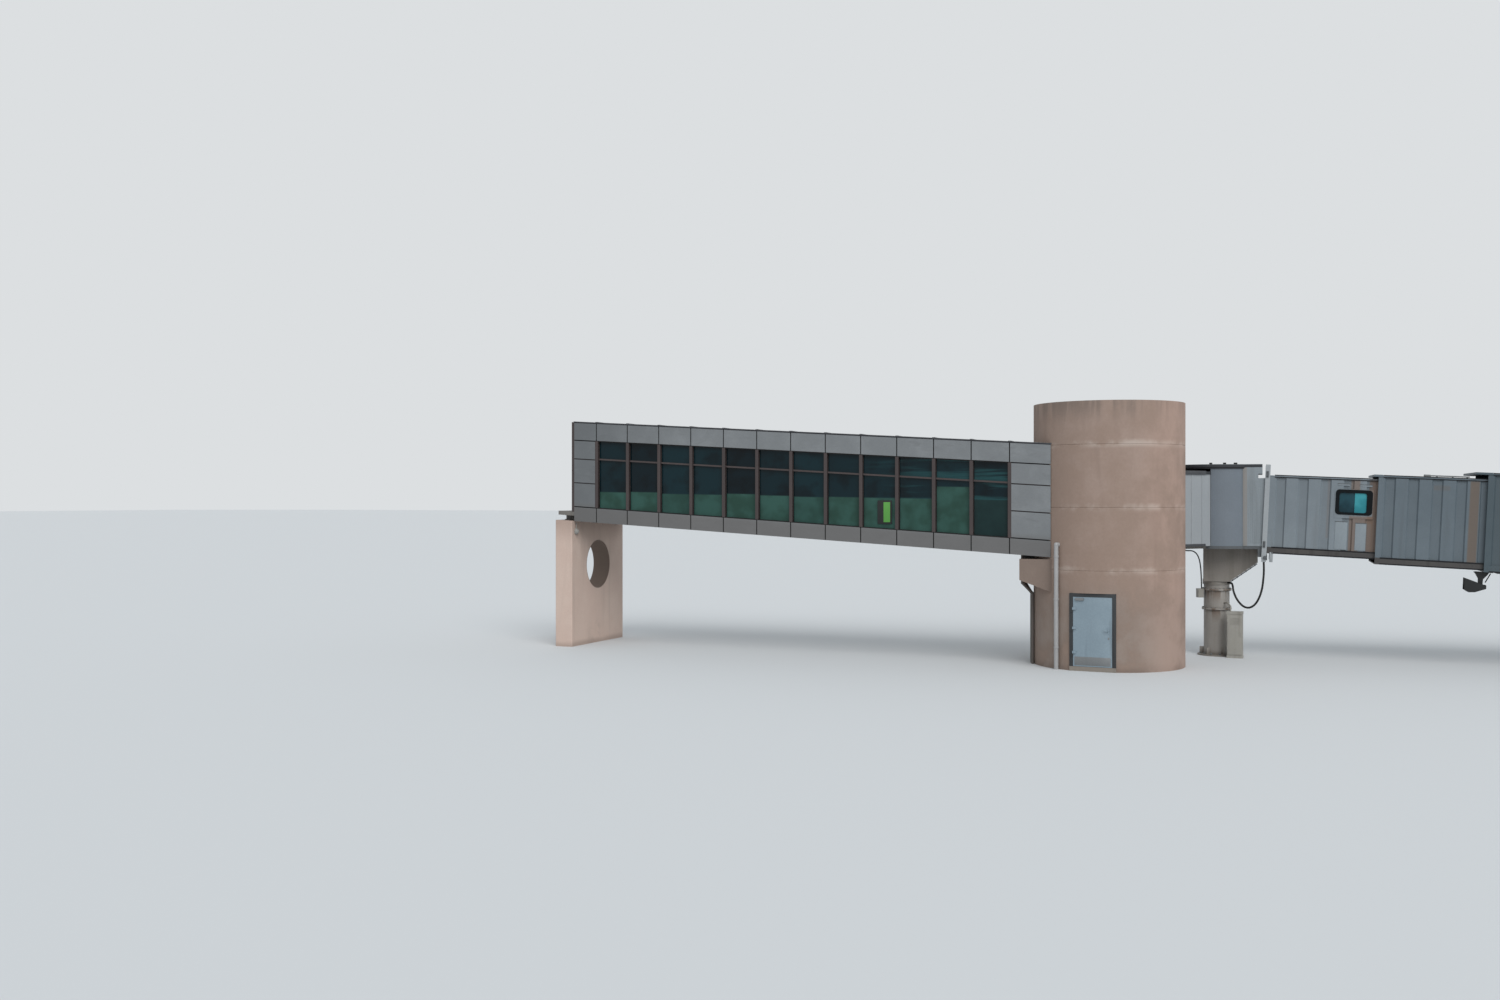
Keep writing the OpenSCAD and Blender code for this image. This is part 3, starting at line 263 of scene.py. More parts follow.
# Cast concrete with a cement render: open-pored and dead matt
pylon_concrete = weathered("rendered_concrete_pylon", "#c4ada0", "#d0bdb0", "#a08d82", streaks=0.2,
                           rough=0.88, foot=0.1, extra=shaded_bore_washes_and_shadow)
dress(pylon_concrete, "pylon_wall")

# Bulkhead lamp: a round cast metal body high on the pylon, under the end of the link. It is painted grey
# all over, and a conduit runs from it up to the link.
tower_r, link_half = 1.255, 0.975
bays, bay_w, end_bay_near_tower, end_bay_far = 12, 0.657, 0.705, 0.490
link_x1 = -math.sqrt(tower_r ** 2 - link_half ** 2)
glazed_x1 = link_x1 - end_bay_near_tower
glazed_x0 = glazed_x1 - bays * bay_w
link_x0 = glazed_x0 - end_bay_far


def skin(shape, rings, closed=True):
    """Faces from each ring of points to the next. A closed ring's last point meets its first."""
    for one, two in zip(rings, rings[1:]):
        for k in range(len(one) if closed else len(one) - 1):
            after = (k + 1) % len(one)
            shape.faces.new((one[k], one[after], two[after], two[k]))


def bar(shape, path, radius, sides=12):
    """A round bar or pipe along a path, closed at both ends."""
    turn = [2 * math.pi * k / sides for k in range(sides)]
    path = [Vector(p) for p in path]
    last = len(path) - 1
    rings = []
    for i, point in enumerate(path):
        ahead = (path[min(i + 1, last)] - path[max(i - 1, 0)]).normalized()
        side = ahead.cross(Vector((0.31, 0.95, 0.05))).normalized()
        up = ahead.cross(side)
        rings.append([shape.verts.new(point + radius * (math.cos(t) * side + math.sin(t) * up))
                      for t in turn])
    skin(shape, rings)
    shape.faces.new(rings[0])
    shape.faces.new(rings[-1])


def turned(shape, profile, seat, sides=32):
    """A turned body: a profile of radius and height, turned about the seat's own upright axis."""
    turn = [2 * math.pi * k / sides for k in range(sides)]
    rings = []
    for radius, height in profile:
        rings.append([shape.verts.new(seat @ Vector((radius * math.cos(t), radius * math.sin(t), height)))
                      for t in turn])
    skin(shape, rings)
    shape.faces.new(rings[0])
    shape.faces.new(rings[-1])


def assemble(name, shape, finish, body, place=Matrix()):
    """Turns a shape into a piece of the object that rides on a body."""
    bmesh.ops.recalc_face_normals(shape, faces=shape.faces)
    mesh = bpy.data.meshes.new(name)
    shape.to_mesh(mesh)
    shape.free()
    mesh.transform(place)
    mesh.shade_smooth()
    mesh.set_sharp_from_angle(angle=math.radians(35))
    mesh.materials.append(finish)
    made = bpy.data.objects.new(name, mesh)
    bpy.context.scene.collection.objects.link(made)
    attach(made, body)
    return made


lamp_metal = weathered("painted_cast_lamp_body", "#8f8d88", "#a09e99", "#5f5c57", rough=0.5, bump=0.05)
lamp_y, lamp_z = -0.9, 2.2
lamp_seat = Matrix.Translation((link_x0 + 0.001, lamp_y, lamp_z)) @ Matrix.Rotation(math.pi / 2, 4, "Y")
shape = bmesh.new()
turned(shape, [(0.06, 0), (0.06, 0.022), (0.052, 0.03), (0.046, 0.03), (0.04, 0.05), (0.02, 0.062)],
       lamp_seat)
bar(shape, [(link_x0 + 0.012, lamp_y, lamp_z + 0.055), (link_x0 + 0.012, lamp_y, lamp_z + 0.16)], 0.009)
assemble("pylon_lamp", shape, lamp_metal, "root")

# Link structure: two rolled steel floor beams under a concrete floor, with a felt and sheet metal roof.
# Brown-black paint on the steel, a dusty grey floor, dark grey flashing round the roof's edge.
beam_paint = weathered("alkyd_painted_steel_beams", "#55514d", "#6a655f", "#3a332e", rough=0.55, bump=0.1)
dress(beam_paint, "link_beams")
floor_concrete = weathered("trowelled_concrete_floor", "#6d6a66", "#807c76", "#4f4b46", rough=0.8)
dress(floor_concrete, "link_deck", "corridor_floor")
roof_sheet = weathered("coated_roof_flashing", "#454649", "#5c5e60", "#2c2c2d", rough=0.5, bump=0.08)
dress(roof_sheet, "link_roof")

# Link frames: a stick-built curtain wall of extruded aluminium with a brown-mauve powder coat. The coat
# has chalked a little, so it is satin and slightly pale in patches.
mullion_coat = weathered("powder_coated_aluminium_mullions", "#3e3433", "#4b403e", "#2d2624", patch=0.5,
                         streaks=0.3, rough=0.45, bump=0.05)
dress(mullion_coat, "link_wall_frames", "link_end_frame")

# Glazing gaskets and joint strips: black extruded rubber, pressed in beside each pane and behind each
# open joint, so that the joints read as thin dark lines
gasket_rubber = weathered("extruded_gasket_rubber", "#1b1a1a", "#2a2928", "#101010", rough=0.6, bump=0.05,
                          gloss=0.25)


def grow(name, sizes, build, finish, body, place=Matrix()):
    """Grows a piece with a Geometry Nodes tree whose named inputs are its sizes. A piece given no body
    is not attached to one."""
    tree = bpy.data.node_groups.new(name + "_pattern", "GeometryNodeTree")
    kinds = {int: "NodeSocketInt", float: "NodeSocketFloat", tuple: "NodeSocketVector"}
    for key, value in sizes.items():
        tree.interface.new_socket(key, in_out="INPUT", socket_type=kinds[type(value)])
    tree.interface.new_socket("Geometry", in_out="OUTPUT", socket_type="NodeSocketGeometry")
    grown = build(tree, add(tree, "NodeGroupInput").outputs)
    real = result(tree, "GeometryNodeRealizeInstances", {"Geometry": grown})
    add(tree, "NodeGroupOutput", {0: result(tree, "GeometryNodeSetMaterial",
                                            {"Geometry": real, "Material": finish})})
    holder = bpy.data.objects.new(name + "_holder", bpy.data.meshes.new(name + "_holder"))
    bpy.context.scene.collection.objects.link(holder)
    modifier = holder.modifiers.new("pattern", "NODES")
    modifier.node_group = tree
    for socket in tree.interface.items_tree:
        if socket.in_out == "INPUT":
            modifier[socket.identifier] = sizes[socket.name]
    mesh = bpy.data.meshes.new_from_object(holder.evaluated_get(bpy.context.evaluated_depsgraph_get()))
    bpy.data.objects.remove(holder)
    mesh.name = name
    mesh.transform(place)
    made = bpy.data.objects.new(name, mesh)
    bpy.context.scene.collection.objects.link(made)
    if body:
        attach(made, body)
    return made


def copies(tree, sizes, thing):
    """Sets a thing at every step of a row, then the row again across, and shears it all by the rake."""
    row = result(tree, "GeometryNodeMeshLine", {"Count": sizes["Count"], "Start Location": sizes["Start"],
                                                "Offset": sizes["Step"]})
    row = result(tree, "GeometryNodeInstanceOnPoints", {"Points": row, "Instance": thing})
    over = result(tree, "GeometryNodeMeshLine", {"Count": sizes["Rows"], "Offset": sizes["Across"]})
    rows = result(tree, "GeometryNodeInstanceOnPoints", {"Points": over, "Instance": row})
    rows = result(tree, "GeometryNodeRealizeInstances", {"Geometry": rows})
    spot = result(tree, "GeometryNodeInputPosition")
    back = reckon(tree, "SUBTRACT", sizes["Pivot"], result(tree, "ShaderNodeSeparateXYZ", {0: spot}))
    rise = reckon(tree, "MULTIPLY", back, sizes["Rake"])
    lift = result(tree, "ShaderNodeCombineXYZ", {2: rise})
    return result(tree, "GeometryNodeSetPosition", {"Geometry": rows, "Offset": lift})


def strips(tree, sizes):
    """A row of square-cut strips."""
    return copies(tree, sizes, result(tree, "GeometryNodeMeshCube", {"Size": sizes["Size"]}))


def row_sizes(count, start, step, size, rows=1, across=(0.0, 0.0, 0.0), rake=0.0, pivot=0.0):
    """The inputs that a row of strips takes."""
    return {"Count": count, "Start": start, "Step": step, "Size": size, "Rows": rows, "Across": across,
            "Rake": rake, "Pivot": pivot}


def wall_rows(count, start, spacing, size, **more):
    """The inputs of one row along each side wall, the first on the near wall at its start."""
    return row_sizes(count, start, (spacing, 0.0, 0.0), size, 2, (0.0, -2 * start[1], 0.0), **more)


sole_z, fall, link_h = 1.835, 0.061, 1.9
low_band, high_band, joint_y, gasket_y = 0.288, 1.555, -0.953, -0.910
on_link = {"rake": fall, "pivot": link_x1}
for name, z, height in (("low", low_band / 2, low_band - 0.02), ("high", (high_band + link_h) / 2, 0.3)):
    sizes = wall_rows(bays + 1, (glazed_x0, joint_y, sole_z + z), bay_w, (0.019, 0.012, height), **on_link)
    grow("panel_joints_" + name, sizes, strips, gasket_rubber, "root")
for name, z in (("sill", low_band), ("head", high_band)):
    for part, count, first, width in (("bays", bays + 1, bay_w / 2, bay_w - 0.03),
                                      ("end", 1, -end_bay_far / 2, 0.455)):
        start = (glazed_x0 + first, joint_y, sole_z + z)
        sizes = wall_rows(count, start, bay_w, (width, 0.012, 0.018), **on_link)
        grow(f"band_joints_{name}_{part}", sizes, strips, gasket_rubber, "root")
for name, z, height in (("lower", 0.743, 0.88), ("upper", 1.38, 0.335)):
    for side, shift in (("left", 0.036), ("right", bay_w - 0.036)):
        start = (glazed_x0 + shift, gasket_y, sole_z + z)
        sizes = wall_rows(bays, start, bay_w, (0.012, 0.012, height), **on_link)
        grow(f"pane_gaskets_{name}_{side}", sizes, strips, gasket_rubber, "root")

# Roof edge: folded sheet copings clipped over the top of the cladding, with standing seams across the roof
# at every bay and short dark clips where two copings meet


def block(shape, low, high, soft=0.0):
    """A box from corner to corner, with its edges rounded by soft."""
    corners = bmesh.ops.create_cube(shape, size=1.0)["verts"]
    for corner in corners:
        corner.co = [a + (b - a) * (c + 0.5) for a, b, c in zip(low, high, corner.co)]
    if soft:
        edges = list(dict.fromkeys(edge for corner in corners for edge in corner.link_edges))
        bmesh.ops.bevel(shape, geom=edges, offset=soft, segments=2, profile=0.7, affect="EDGES")


def beside(shape, side, along, depths, heights, soft=0.0):
    """A box on one side of the middle, between two places along, two depths and two heights."""
    low, high = zip(along, sorted(side * depth for depth in depths), heights)
    block(shape, low, high, soft)


roof_z = sole_z + link_h
sizes = row_sizes(bays + 1, (glazed_x0, 0.0, roof_z + 0.012), (bay_w, 0.0, 0.0), (0.03, 1.90, 0.024),
                  **on_link)
grow("roof_seams", sizes, strips, roof_sheet, "root")
sizes = wall_rows(bays + 1, (glazed_x0, -0.962, roof_z + 0.006), bay_w, (0.05, 0.026, 0.03), **on_link)
grow("coping_clips", sizes, strips, gasket_rubber, "root")
shape = bmesh.new()
for side in (-1, 1):
    beside(shape, side, (link_x0 + 0.002, link_x1 - 0.02), (0.939, 0.977),
           (link_h - 0.014, link_h + 0.014))
for vertex in shape.verts:
    vertex.co.z += sole_z + fall * (link_x1 - vertex.co.x)
coping_coat = weathered("coated_steel_coping", "#1f1e24", "#2e2d33", "#141417", rough=0.5, bump=0.05,
                        gloss=0.3)
assemble("link_copings", shape, coping_coat, "root")

# Link glass: dark solar glass behind the frames, one sheet a side. It looks near black with a teal edge,
# and its lower part is painted paler and greener, a painted reflection of light from below in each pane,
# dark again in the last bay by the tower. Faint level bands of painted reflection lie on the upper glass
# near the tower. The line between the two slopes along the link and jumps a little from pane to pane,
# because the panes don't hang quite flush.
reflection_slope, reflection_z, pane_jump, raised_by = 0.0209, 2.775, 0.03, 0.22
glass, tree, shader = new_finish("tinted_float_glass", Roughness=0.08, IOR=1.52, Specular_IOR_Level=0.18)
spot = add(tree, "ShaderNodeTexCoord").outputs["Object"]
axes = add(tree, "ShaderNodeSeparateXYZ", {0: spot}).outputs
bay = reckon(tree, "ADD", axes[0], -glazed_x0)
bay = reckon(tree, "DIVIDE", bay, bay_w)
bay = reckon(tree, "FLOOR", bay)
pane = result(tree, "ShaderNodeTexWhiteNoise", {"W": bay}, noise_dimensions="1D")
slope = reckon(tree, "MULTIPLY_ADD", axes[0], reflection_slope, axes[2])
sag = reckon(tree, "MULTIPLY_ADD", pane, pane_jump, slope)
streak = cloudy(tree, spot, 3.0, 2.0)
dark = blend_colour(tree, ramp(tree, pane, 0.0, 1.0, 0.1, 0.9), linear("#06141a"), linear("#0d272d"))
dark = washed(tree, dark, ramp(tree, streak, 0.45, 0.7, 0.0, 0.6), "#04090d")
# Painted reflection: faint level bands of light on the upper glass near the tower.
reflection_bands = result(tree, "ShaderNodeMapping", {"Vector": spot, "Scale": (0.5, 1.0, 7.0)})
reflection_bands = ramp(tree, cloudy(tree, reflection_bands, 1.3, 3.0), 0.5, 0.66, 0.0, 0.5)
painted_reflection_near_tower = times(tree, ramp(tree, axes[0], -4.6, -2.2), reflection_bands)
dark = washed(tree, dark, painted_reflection_near_tower, "#2c5a5c")
# Painted reflection: the paler, greener lower part of each pane, left dark in the last bay.
low = blend_colour(tree, ramp(tree, streak, 0.35, 0.65), linear("#264239"), linear("#31524a"))
low = washed(tree, low, ramp(tree, pane, 0.6, 1.0, 0.0, 0.3), "#1b3636")
last_bay = ramp(tree, axes[0], glazed_x1 - 0.70, glazed_x1 - 0.60, 0.0, 0.8)
low = washed(tree, low, last_bay, "#0c1d22")
raised = between(tree, axes[0], glazed_x1 - 2 * bay_w, glazed_x1 - bay_w, 0.02)
sag = reckon(tree, "MULTIPLY_ADD", raised, -raised_by, sag)
upper = ramp(tree, sag, reflection_z - 0.013, reflection_z + 0.013)
tree.links.new(blend_colour(tree, upper, low, dark), shader.inputs["Base Color"])
dress(glass, "link_glass")

# Link cladding: flat aluminium composite panels, hooked on the frame with an open joint. Mid grey with a
# faint metallic sheen, dulled by dirt that runs from the joints, and darker at the end away from the tower
# as painted shade.
def far_end_shade_and_lower_tone(tree, colour, axes, cloud, rain):
    """A darker stretch of painted shade at the end away from the tower, and a warmer lower row of panels.
    """
    level = reckon(tree, "MULTIPLY_ADD", axes[0], fall, axes[2])
    lower = ramp(tree, level, 2.0, 2.2, 0.75, 0.0)
    # Painted shade over the end away from the tower.
    colour = washed(tree, colour, ramp(tree, axes[0], -9.9, -7.0, 0.45, 0.0), "#4a4d4f")
    return washed(tree, colour, lower, "#666361")


panel_coat = weathered("aluminium_composite_panels", "#7b7e80", "#8c8f91", "#646566", patch=0.6,
                       streaks=0.3, rough=0.42, bump=0.03, metal=0.3, extra=far_end_shade_and_lower_tone, patch_size=0.5,
                       drip=(3, 3, 9))
dress(panel_coat, "link_panels")

# Gate sign: a bare green face of acrylic sheet in a slim black case, fixed upright and flat against a
# pane of the link
case_paint = weathered("painted_sign_case", "#101212", "#1c1f1f", "#080808", rough=0.5)
face_paint = weathered("acrylic_sign_face", "#4f8f3a", "#5fa048", "#3a6e2c", rough=0.35, bump=0.02)
sign_x, sign_y = -3.70, -0.923
sign_z = sole_z + fall * (link_x1 - sign_x)
shape = bmesh.new()
block(shape, (sign_x - 0.13, sign_y, sign_z + 0.37), (sign_x + 0.13, sign_y + 0.016, sign_z + 0.78), 0.006)
assemble("gate_sign_case", shape, case_paint, "root")
shape = bmesh.new()
block(shape, (sign_x - 0.02, sign_y - 0.003, sign_z + 0.40),
      (sign_x + 0.10, sign_y + 0.001, sign_z + 0.75), 0.003)
assemble("gate_sign_face", shape, face_paint, "root")

# Corbel and bearings: a concrete corbel cast with the tower carries the link on two rubber pads. Beige
# painted conduits run down it, and a grey plastic drain pipe beside it.
def lift_marks_and_side_light(tree, colour, axes, cloud, rain):
    """Pale lime bloom round each casting joint, a grey drip edge at the top, soft washes below it, and
    painted light that makes the right side warmer and paler.
    """
    wander = reckon(tree, "MULTIPLY", cloud, 0.16)
    for joint in (1.64, 2.675, 3.71):
        off = reckon(tree, "SUBTRACT", axes[2], wander)
        off = reckon(tree, "ADD", off, -joint + 0.08)
        off = reckon(tree, "ABSOLUTE", off)
        bloom = times(tree, ramp(tree, off, 0.0, 0.09, 0.55, 0.0), ramp(tree, cloud, 0.40, 0.6))
        colour = washed(tree, colour, bloom, "#bfb2a8")
    low = times(tree, ramp(tree, axes[2], 0.3, 1.6, 0.5, 0.0), ramp(tree, cloud, 0.44, 0.62))
    colour = washed(tree, colour, low, "#a1958c")
    grey = times(tree, ramp(tree, axes[2], 0.9, 1.7, 0.35, 0.0), ramp(tree, cloud, 0.3, 0.5))
    colour = washed(tree, colour, grey, "#70675f")
    top = times(tree, ramp(tree, axes[2], 4.0, 4.41, 0.0, 0.75), ramp(tree, rain, 0.38, 0.6))
    colour = washed(tree, colour, top, "#74665d")
    # Painted light: the right side, towards the light, warmer and paler.
    painted_light_on_right = times(tree, ramp(tree, axes[0], 0.5, 1.2), ramp(tree, cloud, 0.35, 0.6, 0.1, 0.45))
    return washed(tree, colour, painted_light_on_right, "#b8998a")


tower_render = weathered("painted_concrete_tower", "#917c6f", "#a28e83", "#7a675c", patch=0.75,
                         streaks=0.3, rough=0.86, bump=0.3, foot=0.1, grain_mm=10, patch_size=0.7,
                         drip=(5, 5, 0.5), extra=lift_marks_and_side_light)
dress(tower_render, "tower_base_wall_left", "tower_base_wall_right", "tower_door_lintel",
      "tower_upper_wall_left", "tower_upper_wall_right", "tower_upper_wall_back", "tower_lintels")
# The corbel has the tower's paint, made darker as painted shade from the link above it.
corbel_render_in_shade = weathered("painted_concrete_corbel_shaded", "#7d6d63", "#8b7b71", "#65564d", patch=0.75,
                          rough=0.86)
dress(corbel_render_in_shade, "corbel")
pad_rubber = weathered("moulded_bearing_rubber", "#262524", "#3b3936", "#171616", rough=0.7)
dress(pad_rubber, "bearing_pads")
slab_concrete = weathered("cast_concrete_slabs", "#857d74", "#978f86", "#655d55", rough=0.85)
dress(slab_concrete, "tower_slabs")
conduit_paint = weathered("painted_steel_conduit", "#57504b", "#6d655e", "#3b342f", rough=0.55, bump=0.1)
dress(conduit_paint, "conduits")
drain_plastic = weathered("rigid_plastic_drain_pipe", "#9c9b9b", "#adacab", "#7b7874", rough=0.4, bump=0.03)
dress(drain_plastic, "drain_pipe")
frame_paint = weathered("painted_steel_door_frame", "#2c2e30", "#45484a", "#191a1b", rough=0.6)
dress(frame_paint, "tower_door_frame")
door_paint = weathered("painted_steel_door_leaf", "#7f8f99", "#93a3ac", "#5d6972", rough=0.45, bump=0.05)
dress(door_paint, "tower_door")

# Door fittings: a lock plate, a kick plate along the foot and a closer box at the head, all of brushed
# stainless steel and fixed flat on the leaf
brushed_steel = weathered("brushed_stainless_steel", "#8d8f90", "#a3a5a6", "#6a6b6a", rough=0.35, metal=0.9,
                          bump=0.03)
door_bearing = math.radians(-94)
at_door = Matrix.Rotation(door_bearing, 4, "Z")
shape = bmesh.new()
block(shape, (1.219, 0.250, 0.53), (1.223, 0.274, 0.565), 0.001)
block(shape, (1.219, -0.295, 0.095), (1.222, 0.295, 0.235), 0.001)
block(shape, (1.219, -0.28, 1.155), (1.243, -0.14, 1.195), 0.004)
assemble("door_fittings", shape, brushed_steel, "door", at_door)

# Corridor: pale flat panels of painted sheet steel on a hidden frame, with upright cover strips on the
# joints and a folded trim along the top and the foot
at_corridor = Matrix.Rotation(corridor_bearing, 4, "Z")
corridor_paint = weathered("painted_sheet_steel_corridor", "#979b9e", "#a5a9ac", "#7c7f81", rough=0.5,
                           bump=0.04, streaks=0.3)
dress(corridor_paint, "corridor_walls")
grow("corridor_cover_strips", wall_rows(3, (1.34, -0.403, 2.62), 0.27, (0.035, 0.006, 1.24)), strips,
     corridor_paint, "root", at_corridor)
shape = bmesh.new()
for side in (-1, 1):
    beside(shape, side, (1.27, 1.955), (0.406, 0.422), (3.245, 3.312), 0.003)
    beside(shape, side, (1.27, 1.955), (0.398, 0.410), (1.992, 2.03), 0.002)
assemble("corridor_edge_trims", shape, roof_sheet, "root", at_corridor)

# Column and slewing head: a welded steel tube with two bolted flanges and a stiffened head on a slewing
# ring. Grey-beige epoxy paint, rust-stained under the flanges, with galvanised bolts.
low_flange_z, high_flange_z = 0.845, 1.19


def column_dirt(tree, colour, axes, cloud, rain):
    """Rust that rain has washed down from each flange."""
    for flange in (low_flange_z, high_flange_z):
        under = reckon(tree, "ADD", axes[2], -flange)
        drip = times(tree, ramp(tree, under, -0.28, -0.01, 0.0, 0.8),
                     ramp(tree, under, 0.0, 0.03, 1.0, 0.0), ramp(tree, rain, 0.42, 0.58))
        colour = washed(tree, colour, drip, "#6b5a4c")
    return colour


column_paint = weathered("epoxy_painted_column", "#98938d", "#a8a49e", "#716a62", rough=0.6, foot=0.1,
                         streaks=0.3, extra=column_dirt)
dress(column_paint, "column")
head_paint = weathered("epoxy_painted_slewing_head", "#868079", "#949089", "#5d554d", rough=0.6,
                       streaks=0.3)
dress(head_paint, "slewing_head")
bolt_zinc = weathered("galvanised_steel_bolts", "#77797a", "#8d9090", "#54534f", rough=0.45, metal=0.8,
                      bump=0.03)


def bolt_circle(tree, sizes):
    """Hexagon bolts through a flange, every one with a washer above and below."""
    ring = result(tree, "GeometryNodeMeshCircle", {"Vertices": sizes["Bolts"], "Radius": sizes["Circle"]})
    head = add(tree, "GeometryNodeMeshCylinder",
               {"Vertices": 6, "Radius": sizes["Head"], "Depth": sizes["Length"]}).outputs["Mesh"]
    washer = add(tree, "GeometryNodeMeshCylinder",
                 {"Vertices": 16, "Radius": sizes["Washer"], "Depth": sizes["Grip"]}).outputs["Mesh"]
    bolt = add(tree, "GeometryNodeJoinGeometry")
    for part in (head, washer):
        tree.links.new(part, bolt.inputs[0])
    ring = result(tree, "GeometryNodeInstanceOnPoints", {"Points": ring, "Instance": bolt.outputs[0]})
    place = result(tree, "GeometryNodeMeshLine", {"Count": sizes["Rings"], "Start Location": sizes["First"],
                                                  "Offset": sizes["Next"]})
    return result(tree, "GeometryNodeInstanceOnPoints", {"Points": place, "Instance": ring})


grow("flange_bolts", {"Bolts": 20, "Circle": 0.24, "Head": 0.010, "Length": 0.052, "Washer": 0.014,
                      "Grip": 0.036, "Rings": 2, "First": (0.0, 0.0, low_flange_z),
                      "Next": (0.0, 0.0, high_flange_z - low_flange_z)},
     bolt_circle, bolt_zinc, "root", at_column)
grow("anchor_nuts", {"Bolts": 12, "Circle": 0.285, "Head": 0.016, "Length": 0.05, "Washer": 0.021,
                     "Grip": 0.006, "Rings": 1, "First": (0.0, 0.0, 0.029), "Next": (0.0, 0.0, 0.0)},
     bolt_circle, bolt_zinc, "root",
     at_column @ Matrix.Rotation(math.radians(15), 4, "Z"))

# Cabinets: a floor-standing box of folded sheet steel with a door, louvres and a swing handle, and a small
# junction box on the column. Warm grey paint, faintly streaked by rain.
cabinet_paint = weathered("painted_cabinet", "#98958d", "#a6a39c", "#6f6b63", rough=0.5)
dress(cabinet_paint, "electrical_cabinets")
shape = bmesh.new()
block(shape, (0.215, -0.4765, 0.06), (0.460, -0.4725, 0.76), 0.002)
block(shape, (0.43, -0.483, 0.38), (0.445, -0.4765, 0.47), 0.003)
for z in (0.15, 0.64):
    bar(shape, [(0.214, -0.4755, z), (0.214, -0.4755, z + 0.05)], 0.006)
head_box = Matrix.Rotation(math.radians(205), 4, "Z")
for corners in (((0.355, -0.05, 1.05), (0.3585, 0.05, 1.19)),
                ((0.3585, 0.03, 1.10), (0.3645, 0.042, 1.14))):
    part = bmesh.new()
    block(part, *corners, 0.001)
    bmesh.ops.transform(part, matrix=head_box, verts=part.verts)
    mesh = bpy.data.meshes.new("part")
    part.to_mesh(mesh)
    part.free()
    shape.from_mesh(mesh)
    bpy.data.meshes.remove(mesh)
assemble("cabinet_doors", shape, cabinet_paint, "root", at_column)
grow("cabinet_louvres",
     row_sizes(7, (0.337, -0.4775, 0.60), (0.0, 0.0, 0.018), (0.16, 0.004, 0.007)), strips, cabinet_paint,
     "root", at_column)

# Rotunda curtains: roller curtains of hooked steel slats that run round the rotunda as the bridge turns.
# Grey-blue coated strip steel; each slat stands upright and shows as a fine fold.
curtain_paint = weathered("coated_curtain_slats", "#6f777f", "#7d858d", "#565e66", rough=0.5, streaks=0.3)


def slats(tree, sizes):
    """Slats on an arc round the rotunda, each with a rounded rib where it hooks into the next."""
    line = result(tree, "GeometryNodeMeshLine", {"Count": sizes["Slats"]})
    number = result(tree, "GeometryNodeInputIndex")
    share = reckon(tree, "ADD", number, 0.5)
    share = reckon(tree, "DIVIDE", share, sizes["Slats"])
    angle = reckon(tree, "MULTIPLY_ADD", share, sizes["Arc"], sizes["From"])
    reach = [times(tree, reckon(tree, kind, angle), sizes["Radius"])
             for kind in ("COSINE", "SINE")]
    spot = result(tree, "ShaderNodeCombineXYZ", {0: reach[0], 1: reach[1], 2: sizes["Height"]})
    line = result(tree, "GeometryNodeSetPosition", {"Geometry": line, "Position": spot})
    turn = result(tree, "FunctionNodeEulerToRotation",
                  {0: result(tree, "ShaderNodeCombineXYZ", {2: angle})})
    both = add(tree, "GeometryNodeJoinGeometry")
    for size in ("Slat", "Rib"):
        cube = result(tree, "GeometryNodeMeshCube", {"Size": sizes[size]})
        tree.links.new(cube, both.inputs[0])
    return result(tree, "GeometryNodeInstanceOnPoints",
                  {"Points": line, "Instance": both.outputs[0], "Rotation": turn})


drum_r, slat_w, curtain_z, curtain_h = 0.750, 0.030, 2.6752, 1.369
jamb_root, jamb_vestibule = math.asin(0.400 / drum_r), math.asin(0.598 / drum_r)
corridor_side = corridor_bearing + math.pi
for name, start, end in (("near", corridor_side + jamb_root - 2 * math.pi, swing - jamb_vestibule),
                         ("far", corridor_side - jamb_root, swing + jamb_vestibule)):
    count = max(8, round(abs(end - start) * drum_r / slat_w))
    overlapped_w = abs(end - start) * drum_r / count * 1.01
    sizes = {"Slats": count, "From": start, "Arc": end - start, "Radius": drum_r - 0.006,
             "Height": curtain_z, "Slat": (0.005, overlapped_w, curtain_h),
             "Rib": (0.010, 0.011, curtain_h)}
    curtain = grow("curtain_slats_" + name, sizes, slats, curtain_paint, None, at_column)
    edges = [Vector((rotunda_x + drum_r * math.cos(t), rotunda_y + drum_r * math.sin(t), 2.0))
             for t in (start, end)]
    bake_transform(curtain)
    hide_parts("curtain_" + name)

# Rotunda: a floor disc and a roof disc of welded steel over the slewing head, painted grey. The roof's
# rim carries the curtain guide, dark lifting lugs and a bent drip edge.
beam_grey = weathered("painted_steel_underframe", "#54585b", "#65696b", "#38362f", rough=0.6)
dress(beam_grey, "hinge_beam", "rotunda_floor")


def shaded_rim(tree, colour, axes, cloud, rain):
    """The roof's rim, painted darker as shade under its bent edge."""
    return washed(tree, colour, ramp(tree, axes[2], 3.41, 3.428, 0.85, 0.0), "#232329")


# Both roofs carry painted shade along their rim.
flat_roof = weathered("roof_membrane", "#5d6264", "#707476", "#3e3f3e", rough=0.8, extra=shaded_rim)
dress(flat_roof, "corridor_roof", "rotunda_roof")
shape = bmesh.new()
lug_r, lug_z = 0.735, 3.442
for degrees in (-96, -78, -63, 70, 110, 150, 190):
    lug = Matrix.Rotation(math.radians(degrees), 4, "Z")
    corners = bmesh.ops.create_cube(shape, size=1.0)["verts"]
    for corner in corners:
        x, y, z = corner.co
        corner.co = lug @ Vector((lug_r + 0.05 * x, 0.045 * y, lug_z + 0.03 * z))
turned(shape, [(0.769, 3.37), (0.7745, 3.37), (0.7745, 3.376), (0.769, 3.376)], Matrix(), 96)
assemble("rotunda_roof_lugs", shape, gasket_rubber, "rotunda", at_rotunda)

